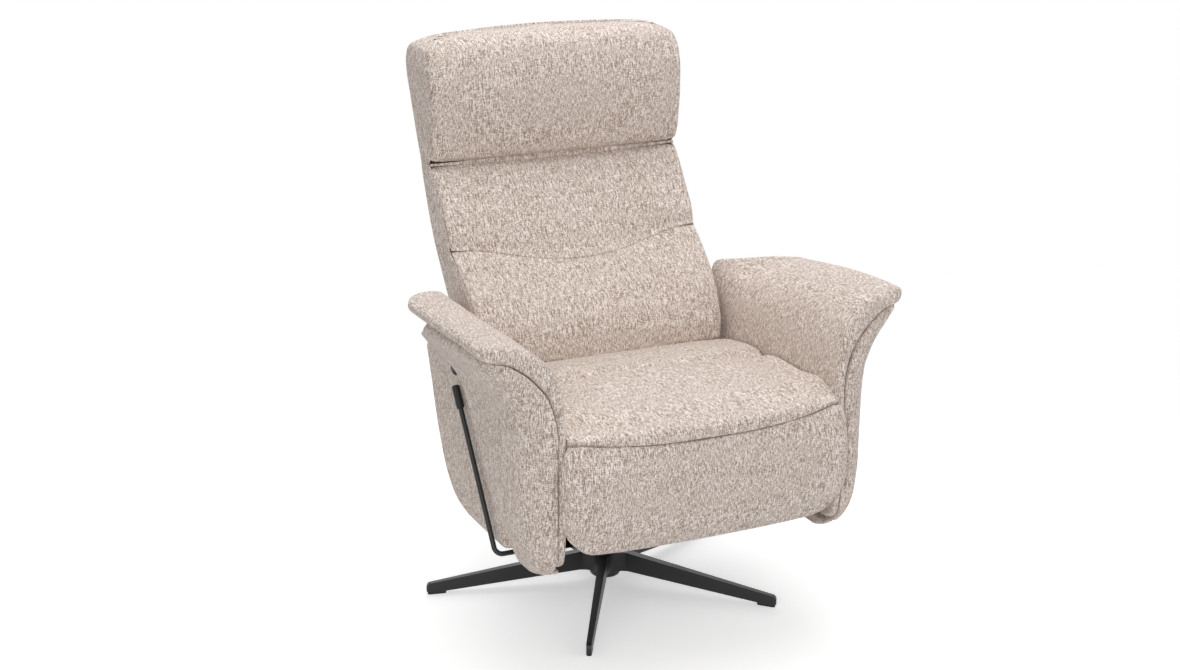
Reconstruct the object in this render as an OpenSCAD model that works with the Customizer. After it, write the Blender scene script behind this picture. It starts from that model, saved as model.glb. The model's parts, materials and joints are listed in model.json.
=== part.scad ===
// Swivel recliner with flared arms on a five-blade star base.
// Millimetres. +Z up, the sitter faces -Y, and the sitter's right hand is at -X.

/* [Base] */
// Radius of the star base at the tips of its legs
base_r = 350; // [310:5:380]
// Height of the hub's top above the floor
hub_top = 62; // [60:1:74]
// Height of a leg where it meets the hub
leg_hub_h = 38; // [32:1:42]
// Height of a leg at its tip
leg_tip_h = 18; // [14:1:24]
// Thickness of a leg at the hub
leg_hub_t = 16; // [12:1:20]
// Thickness of a leg at its tip
leg_tip_t = 10; // [8:1:12]
// Radius of the fillets between two legs
leg_fillet = 30; // [26:1:38]
// Angle of the first leg, from +X
base_turn = -48; // [-72:1:72]
// Height of a glide
glide_h = 5; // [3:1:8]
// Length of a glide
glide_len = 26; // [18:1:34]
// Outer diameter of the column
column_d = 50; // [44:1:52]
// Wall of the column
column_wall = 4; // [3:0.5:6]
// Diameter of the swivel spindle
spindle_d = 34; // [26:1:36]

/* [Chassis] */
// Height of the swivel plate's underside
plate_z = 226; // [200:1:260]
// Thickness of the swivel plate
plate_t = 6; // [4:1:10]
// Side of a square cross tube
tube = 30; // [25:1:36]
// Wall of the cross tubes and side rails
tube_wall = 3; // [2:0.5:4]
// Height of a side rail
rail_h = 60; // [50:1:70]
// Width of a side rail
rail_w = 25; // [20:1:32]
// Height of the seat frame's bars
frame_t = 28; // [22:1:34]
// Room for the seat springs under the cushion
spring_room = 10; // [8:1:16]

/* [Seat] */
// Width of the seat cushion
seat_w = 520; // [480:2:560]
// Thickness of the seat cushion at its edge
seat_t = 100; // [85:1:115]
// Height of the seat's crown above its edge
seat_crown = 16; // [8:1:24]
// Distance from the swivel axis forward to the leg-rest hinge
seat_front = 436; // [410:2:460]
// Distance from the swivel axis back to the rear end of the seat cushion
seat_rear = 34; // [24:1:36]

/* [Leg rest] */
// Length of the leg rest below its hinge
legrest_len = 205; // [180:1:230]
// Thickness of the leg-rest board
legrest_board_t = 12; // [9:1:18]
// Depth of the leg rest, from its crown to the front of its board
legrest_depth = 88; // [70:1:95]

/* [Back] */
// Width of the back at its waist
back_w = 496; // [460:2:500]
// Width of the head part at its widest
head_w = 526; // [510:2:560]
// Tube diameter of the back frame
back_tube = 18; // [14:1:19]
// Distance from the swivel axis back to the recline hinge
recline_y = 50; // [46:1:60]
// Depth of the recline hinge below the seat's edge
recline_drop = 30; // [22:1:40]

/* [Arms] */
// Thickness of the wooden arm boards
board_t = 18; // [15:1:18]
// Height of the arm's crest above the seat's edge
arm_rise = 175; // [155:1:195]
// How far the arm's lip sinks towards its rear end
lip_droop = 42; // [30:1:50]
// Distance from the leg-rest hinge back to the front of the arms
arm_inset = 27; // [24:1:40]

/* [Controls] */
// Diameter of the control rod
lever_d = 9; // [7:0.5:10]
// Diameter of its grip
grip_d = 14; // [11:0.5:15]
// Length of its grip
grip_len = 42; // [30:1:60]
// Diameter of the push button
button_d = 20; // [16:1:22]
// Travel of the push button
button_travel = 3; // [2:0.5:4]
// Diameter of the gas spring's cylinder
gas_d = 26; // [22:1:28]
// Diameter of the gas spring's rod
gas_rod_d = 10; // [8:1:12]

/* [Hidden] */

$fn = 48;
run_gap = 0.3;          // running gap between faces that slide or pass
pin_gap = 0.06;         // radial clearance of a pin in its bore
seam_gap = 0.4;         // gap between two upholstered pieces

// Heights, from the floor up
cross_z = plate_z + plate_t;
rail_z = cross_z + tube;
frame_z = rail_z + rail_h;
pad_z = frame_z + frame_t + spring_room;
seat_h = pad_z + seat_t - 2;

// Side positions, from the middle out
arm_in = seat_w / 2 + 2;
rail_out = seat_w / 2 - 13;
rail_in = rail_out - rail_w;
arm_front = seat_front - arm_inset;

// Joint axes, as distances back and up
hinge_y = -seat_front;
hinge_z = seat_h - 8;
recline_z = seat_h - recline_drop;
head_y = recline_y + 186;
head_z = seat_h + 338;

// The model's origin lies under the middle of its outline, a little in front of the axis
front_reach = seat_front + 11;
rear_reach = recline_y + 300;
swivel_y = (front_reach - rear_reach) / 2;

module place() { translate([0, swivel_y, 0]) children(); }

// Signed power, for superellipses
function spow(v, e) = sign(v) * pow(abs(v), e);
function lerp(a, b, t) = a + (b - a) * t;
// Value of column c at height h, in a table of rows that starts with the height
function at(rows, h, c) =
    let (n = len(rows),
         i = max([0, for (k = [0:n - 2]) if (rows[k][0] <= h) k]))
    lerp(rows[i][c], rows[i + 1][c], (h - rows[i][0]) / (rows[i + 1][0] - rows[i][0]));

// A closed skin over rings of n points; point k and point n-k of a ring face each other.
// Rings that run clockwise, seen from the last one, need no flip.
module loft(rings, flip = false) {
    n = len(rings[0]);
    m = len(rings);
    pts = [for (r = rings) each r];
    sides = [for (i = [0:m - 2]) for (k = [0:n - 1])
        let (a = i * n + k, b = i * n + (k + 1) % n)
        each [[a, b, a + n], [b, b + n, a + n]]];
    first = cap(n, 0);
    last = [for (f = cap(n, (m - 1) * n)) [f[0], f[2], f[1]]];
    faces = concat(sides, first, last);
    polyhedron(pts, flip ? [for (f = faces) [f[0], f[2], f[1]]] : faces, convexity = 6);
}
function cap(n, s) = let (pairs = floor((n - 1) / 2)) concat(
    [[s, s + n - 1, s + 1]],
    n % 2 == 0 ? [[s + n / 2, s + n / 2 - 1, s + n / 2 + 1]] : [],
    pairs < 2 ? [] : [for (k = [1:pairs - 1]) each [[s + k, s + n - k, s + k + 1],
                                                    [s + k + 1, s + n - k, s + n - k - 1]]]);

// A round bar from p to q
module bar(p, q, r) {
    v = q - p;
    len_v = norm(v);
    translate(p)
        rotate([0, acos(v[2] / len_v), atan2(v[1], v[0])])
            cylinder(h = len_v, r = r);
}
// A bent bar through points, with ball corners
module bent_bar(points, r) {
    for (i = [0:len(points) - 2]) bar(points[i], points[i + 1], r);
    for (i = [1:len(points) - 2]) translate(points[i]) sphere(r = r);
}
// A cylinder along X, from x0 to x1, at y and z
module xcyl(x0, x1, y, z, r) {
    translate([x0, y, z]) rotate([0, 90, 0]) cylinder(h = x1 - x0, r = r);
}
// A plate in the YZ plane, from x0 to x1, with an outline of [y, z] points
module xplate(x0, x1, outline) {
    translate([x0, 0, 0]) rotate([90, 0, 90]) linear_extrude(x1 - x0) polygon(outline);
}
module box_at(x0, x1, y0, y1, z0, z1) {
    translate([x0, y0, z0]) cube([x1 - x0, y1 - y0, z1 - z0]);
}
// A link: a flat bar between two round ends, in the YZ plane
module xlink(x0, x1, a, b, w) {
    v = b - a;
    len_v = norm(v);
    side = [-v[1], v[0]] / len_v * w;
    xcyl(x0, x1, a[0], a[1], w);
    xcyl(x0, x1, b[0], b[1], w);
    xplate(x0, x1, [a + side, b + side, b - side, a - side]);
}
module both_sides() { children(); mirror([1, 0, 0]) children(); }

// Base: cast star, glides, column and bush

leg_z = hub_top - leg_hub_h;
tip_z = glide_h + leg_tip_h;
fillet_bite = 0.4;
leg_start = 28;
leg_step = 0.4;         // the hub stands this proud of the legs
fillet_at = (leg_fillet + leg_hub_t / 2 - fillet_bite) / sin(36);
leg_root = fillet_at * cos(36);
boss_r = 30;
boss_z = leg_z - 14;
column_z = boss_z + 4;
washer_t = 2;
flange_t = 4;
column_top = plate_z - run_gap - washer_t - flange_t;
glide_r = base_r - glide_len - 7;

function turn2(p, a) = [p[0] * cos(a) - p[1] * sin(a), p[0] * sin(a) + p[1] * cos(a)];

module star_leg() {
    nose = leg_tip_h * 0.55;
    half = leg_tip_t / 2;
    side_view = concat(
        [[leg_start, leg_z + leg_step], [leg_root, leg_z + leg_step], [glide_r - 4, glide_h],
         [base_r, glide_h]],
        [for (a = [0:15:90]) [base_r - nose + nose * cos(a), tip_z - nose + nose * sin(a)]],
        [[leg_root, hub_top - leg_step], [leg_start, hub_top - leg_step]]);
    intersection() {
        translate([0, leg_hub_t / 2, 0]) rotate([90, 0, 0])
            linear_extrude(leg_hub_t) polygon(side_view);
        union() {
            linear_extrude(hub_top)
                polygon([[0, -leg_hub_t / 2], [leg_root + 4, -leg_hub_t / 2],
                         [base_r - half, -half], [base_r - half, half],
                         [leg_root + 4, leg_hub_t / 2], [0, leg_hub_t / 2]]);
            translate([base_r - half, 0, 0]) cylinder(h = hub_top, r = half);
        }
    }
}
module star_base() {
    angles = [for (k = [0:4]) base_turn + 72 * k];
    web_half = leg_hub_t / 2 - 2;
    web = [for (a = angles) each [turn2([leg_root - 2, -web_half], a),
                                  turn2([leg_root - 2, web_half], a)]];
    place() color("#17181a") difference() {
        union() {
            for (a = angles) rotate([0, 0, a]) star_leg();
            difference() {
                translate([0, 0, leg_z]) linear_extrude(leg_hub_h) polygon(web);
                for (a = angles)
                    translate([fillet_at * cos(a + 36), fillet_at * sin(a + 36), leg_z - 1])
                        cylinder(h = leg_hub_h + 2, r = leg_fillet);
            }
            rotate_extrude()
                polygon(concat([[0, leg_z + 1], [0, boss_z]],
                    [for (a = [-90:15:0]) [boss_r - 7 + 7 * cos(a), boss_z + 7 + 7 * sin(a)]],
                    [[boss_r, leg_z + 1]]));
        }
        translate([0, 0, column_z]) cylinder(h = hub_top, r = column_d / 2);
    }
}
module base_glides() {
    half = leg_tip_t / 2;
    place() color("#101010")
        for (k = [0:4]) rotate([0, 0, base_turn + 72 * k]) {
            box_at(glide_r, glide_r + glide_len, -half, half, 0, glide_h);
            for (r = [glide_r, glide_r + glide_len])
                translate([r, 0, 0]) cylinder(h = glide_h, r = half);
        }
}
module base_column() {
    place() color("#1b1c1e") difference() {
        translate([0, 0, column_z]) cylinder(h = column_top - column_z, r = column_d / 2);
        translate([0, 0, column_z - 1])
            cylinder(h = column_top, r = column_d / 2 - column_wall);
    }
}
bush_len = 90;
module swivel_bush() {
    place() color("#d8d6cf") difference() {
        union() {
            translate([0, 0, column_top - bush_len])
                cylinder(h = bush_len, r = column_d / 2 - column_wall);
            translate([0, 0, column_top]) cylinder(h = flange_t, r = column_d / 2 + 1);
        }
        translate([0, 0, column_top - bush_len - 1])
            cylinder(h = bush_len + flange_t + 2, r = spindle_d / 2 + pin_gap);
    }
}
module thrust_washer() {
    place() color("#8d8f92") translate([0, 0, column_top + flange_t]) difference() {
        cylinder(h = washer_t, r = column_d / 2 + 1);
        translate([0, 0, -1]) cylinder(h = washer_t + 2, r = spindle_d / 2 + 1);
    }
}

// Chassis: plate, tubes, rails and seat deck

plate_w = 220;
plate_d = 200;
bolt_x = 85;
bolt_y = 75;
bolt_r = 4;
anchor_y = -190;
tube_rows = [-bolt_y, bolt_y, anchor_y];
rail_front = -(seat_front - 106);
rail_rear = recline_y + 30;

module plate_holes(z, h, r) {
    for (x = [-bolt_x, bolt_x], y = [-bolt_y, bolt_y])
        translate([x, y, z]) cylinder(h = h, r = r);
}
module swivel_plate() {
    place() color("#222326") {
        difference() {
            box_at(-plate_w / 2, plate_w / 2, -plate_d / 2, plate_d / 2, plate_z, cross_z);
            plate_holes(plate_z - 1, plate_t + 2, bolt_r + 0.3);
        }
        translate([0, 0, column_top - bush_len])
            cylinder(h = plate_z - column_top + bush_len + 1, r = spindle_d / 2);
    }
}
module swivel_bolts() {
    place() color("#9a9c9f") {
        plate_holes(plate_z - 5, 5, 6.5);
        plate_holes(plate_z - 1, plate_t + tube_wall + 1, bolt_r);
        plate_holes(cross_z + tube_wall, 6, 6.5);
    }
}
module square_tube_x(x0, x1, y, z, s) {
    difference() {
        box_at(x0, x1, y - s / 2, y + s / 2, z, z + s);
        box_at(x0 - 1, x1 + 1, y - s / 2 + tube_wall, y + s / 2 - tube_wall,
               z + tube_wall, z + s - tube_wall);
    }
}
module cross_tubes() {
    place() color("#2a2b2e") difference() {
        for (y = tube_rows) square_tube_x(-rail_out, rail_out, y, cross_z, tube);
        plate_holes(cross_z - 1, tube_wall + 2, bolt_r + 0.3);
    }
}
spacer_y = [-(arm_front - 150), -30];
spacer_z = rail_z + rail_h / 2;
arm_bolt_r = 4;
module side_rails() {
    place() color("#2a2b2e") both_sides() difference() {
        box_at(rail_in, rail_out, rail_front, rail_rear, rail_z, rail_z + rail_h);
        box_at(rail_in + tube_wall, rail_out - tube_wall, rail_front - 1, rail_rear + 1,
               rail_z + tube_wall, rail_z + rail_h - tube_wall);
        for (y = spacer_y) xcyl(rail_in - 1, rail_out + 1, y, spacer_z, arm_bolt_r + 0.3);
    }
}
deck_front = -(seat_front - 110);
deck_rear = -6;
deck_bar = 26;
module seat_frame() {
    place() color("#303236") difference() {
        box_at(-rail_out, rail_out, deck_front, deck_rear, frame_z, frame_z + frame_t);
        box_at(-rail_out + deck_bar, rail_out - deck_bar, deck_front + deck_bar,
               deck_rear - deck_bar, frame_z - 1, frame_z + frame_t + 1);
    }
}
spring_x = [-160, -64, 0, 64, 160];
spring_wire = 3.6;
clip_wall = 1.5;
spring_z = pad_z - run_gap - clip_wall - spring_wire;
// One flat zigzag spring: a strip that steps from side to side
module zigzag(y0, y1, half_w, steps) {
    pitch = (y1 - y0) / steps;
    path = [for (i = [0:steps]) each
        (i % 2 == 0 ? [[-half_w, y0 + i * pitch], [half_w, y0 + i * pitch]]
                    : [[half_w, y0 + i * pitch], [-half_w, y0 + i * pitch]])];
    for (i = [0:len(path) - 2]) {
        p = path[i];
        q = path[i + 1];
        translate([min(p[0], q[0]) - spring_wire / 2, min(p[1], q[1]) - spring_wire / 2, 0])
            cube([abs(p[0] - q[0]) + spring_wire, abs(p[1] - q[1]) + spring_wire, spring_wire]);
    }
}
module seat_springs() {
    place() color("#77797c") for (x = spring_x)
        translate([x, 0, spring_z])
            zigzag(deck_front + deck_bar / 2, deck_rear - deck_bar / 2, 22, 13);
}
module spring_clips() {
    place() color("#c8c6be")
        for (x = spring_x, y = [deck_front + deck_bar / 2, deck_rear - deck_bar / 2])
            difference() {
                box_at(x - 15, x + 15, y - 6, y + 6, frame_z + frame_t, pad_z - run_gap);
                box_at(x - 16, x + 16, y - spring_wire / 2, y + spring_wire / 2,
                       spring_z, spring_z + spring_wire);
            }
}
module dust_cover() {
    t = 1.5;
    place() color("#141414") difference() {
        box_at(-rail_out, rail_out, rail_front, rail_rear, cross_z - t, cross_z);
        box_at(-plate_w / 2 - 3, plate_w / 2 + 3, -plate_d / 2 - 3, plate_d / 2 + 3,
               cross_z - 2 * t, cross_z + t);
        box_at(-rail_out - 2, -rail_in + 9, shaft[0] - 24, shaft[0] + 24, cross_z - 2 * t, cross_z + t);
    }
}

// Seat cushion: rings across the seat, sheared at the front into a mitre at the hinge.
// Rows: distance back, height over seat_h, share of the mitre, inset, share of the crown
crease_y = -115;
SEAT_ROWS = [[seat_rear, -22, 0, 12, 0], [seat_rear - 7, -14, 0, 3, 0], [2, -9, 0, 0, 0],
             [-18, -4, 0, 0, 0.3], [-60, 3, 0, 0, 0.9], [crease_y + 16, 5, 0, 0, 1],
             [crease_y, 2, 0, 0, 1], [crease_y - 16, 6, 0, 0, 1], [-200, 8, 0, 0, 1],
             [-280, 8, 0, 0, 1], [-340, 7, 0, 1, 0.95], [-390, 5, 0.55, 3, 0.8],
             [-422, 3, 0.9, 7, 0.5], [hinge_y + seam_gap, 0, 1, 12, 0.2]];
function seat_ring(r, n) =
    let (w = seat_w / 2 - r[3] - 3 * sin(180 * (seat_rear - r[0]) / (seat_rear - hinge_y)),
         top = seat_h + r[1], low = pad_z + r[3] / 2,
         mid = (top + low) / 2, half = (top - low) / 2)
    [for (k = [0:n - 1])
        let (a = -90 + 360 * k / n, x = w * spow(cos(a), 0.28),
             bulge = k > n / 4 && k < 3 * n / 4 ? seat_crown * r[4] * (1 - pow(x / w, 2)) : 0,
             z = mid + half * spow(sin(a), 0.3) + bulge)
        [x, r[0] + r[2] * max(0, hinge_z - z), z]];
hinge_x = 100;
hinge_slot = 8;
// A slot in a pad for a pair of hinge leaves, with an outline of [y, z] offsets from the axis
module hinge_slots(outline) {
    both_sides() xplate(hinge_x - hinge_slot, hinge_x + hinge_slot,
                        [for (p = outline) [hinge_y + p[0], hinge_z + p[1]]]);
}
module seat_pad() {
    place() color("#c9b5a4") difference() {
        loft([for (r = SEAT_ROWS) seat_ring(r, 28)], true);
        hinge_slots([[-6, -2], [-6, 7.3], [9, 7.3], [131, -79], [131, -99], [72, -99]]);
    }
}

// Arms: rows run from the arm's foot over its shoulder to the lip.
// Each row: inner face out, up; outer face out, up; front inset; rear end from the front
ARM_PAD = [[0, -236, 15.5, -236, 30, 280], [0, -227, 15.5, -227, 14, 340],
           [0, -216, 15.5, -216, 8, 370], [0, -175, 15.5, -175, 2, 413],
           [0, -125, 15.5, -125, 0, 440], [0, -56, 15.5, -56, 0, 467],
           [0, 8, 15.5, 8, 0, 486], [1, 36, 18, 31, 2, 492], [3, 66, 23, 55, 3, 500],
           [9, 96, 31, 79, 3, 512], [20, 123, 45, 98, 5, 518], [38, 144, 62, 116, 7, 488],
           [62, 160, 81, 131, 9, 452], [90, 170, 102, 143, 11, 424],
           [117, 175, 120, 146, 15, 401], [136, 174, 134, 148, 22, 384],
           [147, 167, 144, 155, 36, 364]];
ARM_PANEL = [[2, -266, 22, -266, 75, 118], [1.5, -260, 34, -261, 55, 126],
             [1.5, -252, 42, -254, 38, 128], [1.5, -246, 46, -247, 31, 127],
             [16, -245.2, 48, -243, 28, 127], [16, -218, 60, -212, 8, 126],
             [16, -175, 72, -174, 2, 147], [16, -132, 77, -132, 0, 171],
             [16, -71, 78, -71, 0, 210], [16, -28, 78.5, -28, 0, 245],
             [16, 7, 80, 3, 0, 264], [17.3, 20, 82, 24, 0, 279],
             [18.8, 32, 85, 42, 1, 297], [21, 43, 88, 53, 2, 316],
             [24, 55, 92, 62, 2, 352], [27, 64, 97, 71, 3, 428],
             [32, 77.5, 104, 82, 4, 430], [46, 96.8, 113, 93, 6, 424],
             [63, 115.5, 122, 104, 8, 412], [82, 130, 129, 112, 11, 400],
             [103, 142, 133, 119, 15, 385], [120, 145, 136, 127, 22, 370],
             [130, 146, 137, 137, 36, 350]];
ARM_SIDE = [[36, -236, 58, -236, 132, 262], [36, -228, 64, -228, 129, 318],
            [36, -218, 66, -216, 129, 362], [36, -175, 66, -175, 150, 411],
            [36, -132, 66, -132, 174, 436], [36, -71, 66, -71, 213, 462],
            [36, -28, 66, -28, 248, 476], [36, 4, 67, 4, 267, 485],
            [36, 20, 68, 20, 282, 487], [36, 31, 69, 31, 300, 488],
            [36, 43, 71, 43, 319, 487], [36, 53, 73, 52, 358, 470]];
arm_scale = arm_rise / 175;
function arm_up(u) = seat_h + (u > 0 ? u * arm_scale : u);
// How far the lip sinks towards its rear end
function droop(y, z) =
    lip_droop * pow(max(0, y + 231) / 291, 1.6) * min(1, max(0, (z - seat_h - 62) / 90));
function arm_pt(r, y, f) =
    let (z = lerp(arm_up(r[1]), arm_up(r[3]), f))
    [arm_in + lerp(r[0], r[2], f), y, z - droop(y, z)];
// A rounded ring: point 0 is the front end and point n/2 the rear end
ring_at = [0, 0.008, 0.03, 0.09, 0.25, 0.42, 0.58, 0.75, 0.91, 0.97, 0.992, 1];
ring_out = [0, 0.55, 0.85, 1, 1, 1, 1, 1, 1, 0.85, 0.55, 0];
function arm_ring(r) =
    let (y0 = -arm_front + r[4], y1 = -arm_front + r[5], m = len(ring_at) - 1)
    [for (k = [0:2 * m - 1])
        let (i = k <= m ? k : 2 * m - k, s = k <= m ? -0.5 : 0.5)
        arm_pt(r, lerp(y0, y1, ring_at[i]), 0.5 + s * ring_out[i])];
// A ring with a long rounded nose at the front of its outer face
nose_len = 78;
function nose_ring(r) =
    let (y0 = -arm_front + r[4], y1 = -arm_front + r[5], nose = min(nose_len, (y1 - y0) * 0.5),
         tail = min(14, (y1 - y0) * 0.2),
         outer = concat([for (a = [15:15:90]) [y0 + nose * (1 - cos(a)), sin(a)]],
                        [for (t = [0.25, 0.5, 0.75]) [lerp(y0 + nose, y1 - tail, t), 1]],
                        [for (a = [0:30:90]) [y1 - tail + tail * sin(a), 1 - 0.35 * (1 - cos(a))]]),
         m = len(outer))
    concat([arm_pt(r, y0, 0)],
           [for (i = [0:m - 1]) arm_pt(r, min(outer[i][0], y1 - 1), 0)],
           [arm_pt(r, y1, 0.3)],
           [for (i = [m - 1:-1:0]) arm_pt(r, outer[i][0], outer[i][1])]);
board_x0 = arm_in + 15.5 + 0.8;
board_x1 = board_x0 + board_t;
// Outline of the wooden board, grown by g
function board_outline(g) =
    let (f = -arm_front, t = seat_h)
    [[f + 26 - g, t - 210], [f + 26 - g, t + 8 + g], [f + 470 + g, t + 8 + g],
     [f + 470 + g, t - 3], [f + 452 + g, t - 56], [f + 424 + g, t - 125],
     [f + 396 + g, t - 175], [f + 345 + g, t - 214], [f + 290, t - 228 - g],
     [f + 60, t - 228 - g]];
module board_bolt_holes(x0, x1, r) { for (y = spacer_y) xcyl(x0, x1, y, spacer_z, r); }
module arm_board() {
    color("#b08a5e") difference() {
        xplate(board_x0, board_x1, board_outline(0));
        board_bolt_holes(board_x0 - 1, board_x1 + 1, arm_bolt_r + 0.3);
    }
}
spacer_r = 14;
module arm_pad() {
    color("#cdb9a8") difference() {
        loft([for (r = ARM_PAD) arm_ring(r)]);
        board_bolt_holes(arm_in - 1, arm_in + 20, spacer_r + 0.4);
    }
}
module board_pocket() {
    xplate(arm_in + 10, board_x1 + 0.3, board_outline(0.5));
    board_bolt_holes(board_x0, board_x1 + 7, 10);
}
module arm_panel() {
    color("#c8b4a3") difference() {
        loft([for (r = ARM_PANEL) nose_ring(r)]);
        board_pocket();
    }
}
module arm_side() {
    color("#c3af9e") difference() {
        loft([for (r = ARM_SIDE) arm_ring(r)]);
        board_pocket();
    }
}
module arm_board_right() { place() mirror([1, 0, 0]) arm_board(); }
module arm_board_left() { place() arm_board(); }
module arm_pad_right() { place() mirror([1, 0, 0]) arm_pad(); }
module arm_pad_left() { place() arm_pad(); }
module arm_panel_right() { place() mirror([1, 0, 0]) arm_panel(); }
module arm_panel_left() { place() arm_panel(); }
module arm_side_left() { place() arm_side(); }
module arm_side_right() {
    place() mirror([1, 0, 0]) difference() {
        arm_side();
        xcyl(button_x - 16, button_x + 20, button_y, button_z, button_d / 2 + 4);
    }
}
module arm_spacers() {
    place() color("#3a3b3e") both_sides() difference() {
        board_bolt_holes(rail_out, board_x0, spacer_r);
        board_bolt_holes(rail_out - 1, board_x0 + 1, arm_bolt_r + 0.3);
    }
}
module arm_bolts() {
    place() color("#9a9c9f") both_sides() {
        board_bolt_holes(rail_in - 4, board_x1 + 5, arm_bolt_r);
        board_bolt_holes(board_x1, board_x1 + 5, 8);
        board_bolt_holes(rail_in - 7, rail_in, 7);
    }
}

// Recline hinge: a bracket outside, a hinge plate of the back frame inside, a pin through both
bracket_t = 6;
bracket_x = rail_in - bracket_t;
hinge_r = 15;
recline_pin_r = 6;
module recline_brackets() {
    y0 = recline_y - hinge_r;
    y1 = recline_y + hinge_r;
    place() color("#2a2b2e") both_sides() difference() {
        union() {
            xplate(bracket_x, rail_in, [[y0, rail_z + 4], [y1, rail_z + 4], [y1, recline_z],
                                        [y0, recline_z]]);
            xcyl(bracket_x, rail_in, recline_y, recline_z, hinge_r);
        }
        xcyl(bracket_x - 1, rail_in + 1, recline_y, recline_z, recline_pin_r + pin_gap);
    }
}
plate_x1 = bracket_x - run_gap;
plate_x0 = plate_x1 - bracket_t;
module recline_pins() {
    place() color("#9a9c9f") both_sides() {
        xcyl(plate_x0 - 5, rail_in + 3, recline_y, recline_z, recline_pin_r);
        xcyl(rail_in, rail_in + 3, recline_y, recline_z, recline_pin_r + 3);
    }
}

// Leg-rest hinge: goose-neck plates that meet at the fold's axis
leaf_t = 4;
leaf_r = 6;
leg_pin_r = 2.5;
module legrest_brackets() {
    place() color("#2a2b2e") both_sides() {
        difference() {
            union() {
                xlink(hinge_x - leaf_t - run_gap, hinge_x - run_gap, [hinge_y, hinge_z],
                      [deck_front + 12, frame_z + frame_t + 4], leaf_r);
                xplate(hinge_x - leaf_t - run_gap, hinge_x - run_gap,
                       [[deck_front - 12, frame_z + 2], [deck_front, frame_z + 2],
                        [deck_front, frame_z + frame_t], [deck_front + 16, frame_z + frame_t],
                        [deck_front + 18, frame_z + frame_t + 8], [deck_front - 12, frame_z + frame_t + 22]]);
            }
            xcyl(hinge_x - 10, hinge_x + 10, hinge_y, hinge_z, leg_pin_r + pin_gap);
            box_at(hinge_x - 10, hinge_x + 10, deck_front, deck_front + 60, frame_z, frame_z + frame_t);
        }
    }
}
module legrest_pins() {
    place() color("#9a9c9f") both_sides() {
        xcyl(hinge_x - leaf_t - run_gap - 2, hinge_x + leaf_t + 1, hinge_y, hinge_z, leg_pin_r);
        xcyl(hinge_x - leaf_t - run_gap - 2, hinge_x - leaf_t - run_gap, hinge_y, hinge_z, leg_pin_r + 2);
    }
}

// Leg rest
board_y = hinge_y - 10 + legrest_depth;
leg_low = hinge_z - legrest_len;
// Rows: distance below the hinge, front bulge, half width, share of the mitre
LEG_ROWS = [[0.6, 6, 252, 1], [9, 9, 262, 0.915], [32, 9, 270, 0.64], [62, 11, 277, 0.29],
            [95, 12, 279, 0], [130, 10, 279, 0], [160, 6, 274, 0], [180, 0, 262, 0],
            [194, -9, 243, 0], [202, -20, 222, 0], [legrest_len, -30, 200, 0]];
leg_ratio = legrest_len / 205;
function leg_ring(r) =
    let (w = (r[2] - 260) + seat_w / 2, z = hinge_z - r[0] * leg_ratio, yf = hinge_y - r[1],
         lip = max(-(arm_front + 2.5), yf + 20), yb = board_y - seam_gap - max(0, -r[1]) * 0.8,
         wb = min(seat_w / 2 - 2, w - 6),
         half = [[0, yf], [0.3, yf + 1], [0.55, yf + 3], [0.75, yf + 7], [0.88, yf + 12]],
         right = concat([for (h = half) [h[0] * w, h[1]]],
                        [[0.955 * w, lerp(yf + 14, lip, 0.35)], [0.99 * w, lerp(yf + 14, lip, 0.75)],
                         [w - 1, lip], [wb, lip + 1.8], [wb, lerp(lip, yb, 0.85)], [wb - 8, yb]]))
    half_to_ring([for (p = right) [p[0], p[1], z - r[3] * max(0, p[1] - hinge_y)]]);
module legrest_pad() {
    place() color("#cbb7a6") difference() {
        loft([for (r = LEG_ROWS) leg_ring(r)]);
        hinge_slots([[-6.7, 3.7], [9, 3.7], [84, -61], [84, -131], [61, -131], [61, -83],
                     [-6.7, -8.3]]);
    }
}
legboard_top = hinge_z - 94;
module legrest_board() {
    w = seat_w / 2 - 22;
    place() color("#b08a5e")
        box_at(-w, w, board_y, board_y + legrest_board_t, leg_low + 24, legboard_top);
}
module legrest_arms() {
    place() color("#2a2b2e") both_sides() difference() {
        union() {
            xlink(hinge_x, hinge_x + leaf_t, [hinge_y, hinge_z], [board_y - 7, hinge_z - 78], leaf_r);
            xplate(hinge_x, hinge_x + leaf_t, [[board_y - 14, hinge_z - 78], [board_y, hinge_z - 78],
                                               [board_y, hinge_z - 126], [board_y - 14, hinge_z - 126]]);
        }
        xcyl(hinge_x - 10, hinge_x + 10, hinge_y, hinge_z, leg_pin_r + pin_gap);
        box_at(hinge_x - 10, hinge_x + 10, board_y, board_y + 60, leg_low, hinge_z - 60);
    }
}

// Back: rows of height above the seat's edge, then the front face, the parting and the rear
// face, each as a distance behind the recline hinge
BACK = [[-112, 40, 42, 66], [-60, 40, 42, 70], [-35, 20, 40, 72], [-5, -53, 13, 73], [7, -59, 17, 78],
        [32, -59, 28, 87], [62, -47, 45, 105], [92, -30, 62, 122], [122, -5, 80, 139],
        [152, 27, 100, 155], [177, 57, 117, 168], [190, 76, 126, 176], [204, 81, 137, 183],
        [242, 100, 163, 203], [282, 128, 186, 220], [312, 150, 200, 231], [327, 163, 207, 235],
        [338, 177, 210, 237]];
function back_h(h) = seat_h + h;
function back_at(h, c) = recline_y + at(BACK, h, c);
// Half width of the back at a height
function back_half(h) = back_w / 2 + 9 - 12 * max(0, 190 - h) / 195 + max(0, h - 190) / 148;
// The cover's tail is narrow, so that it swings between the recline brackets
function cover_half(h) = h <= -35 ? bracket_x - 8 : back_half(h);
fold_slope = tan(18);
// End of a pad at the head fold: level behind the axis, falling or rising before it
function fold_z(y, s) = head_z + s * (seam_gap + max(0, head_y - y) * fold_slope);
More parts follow.
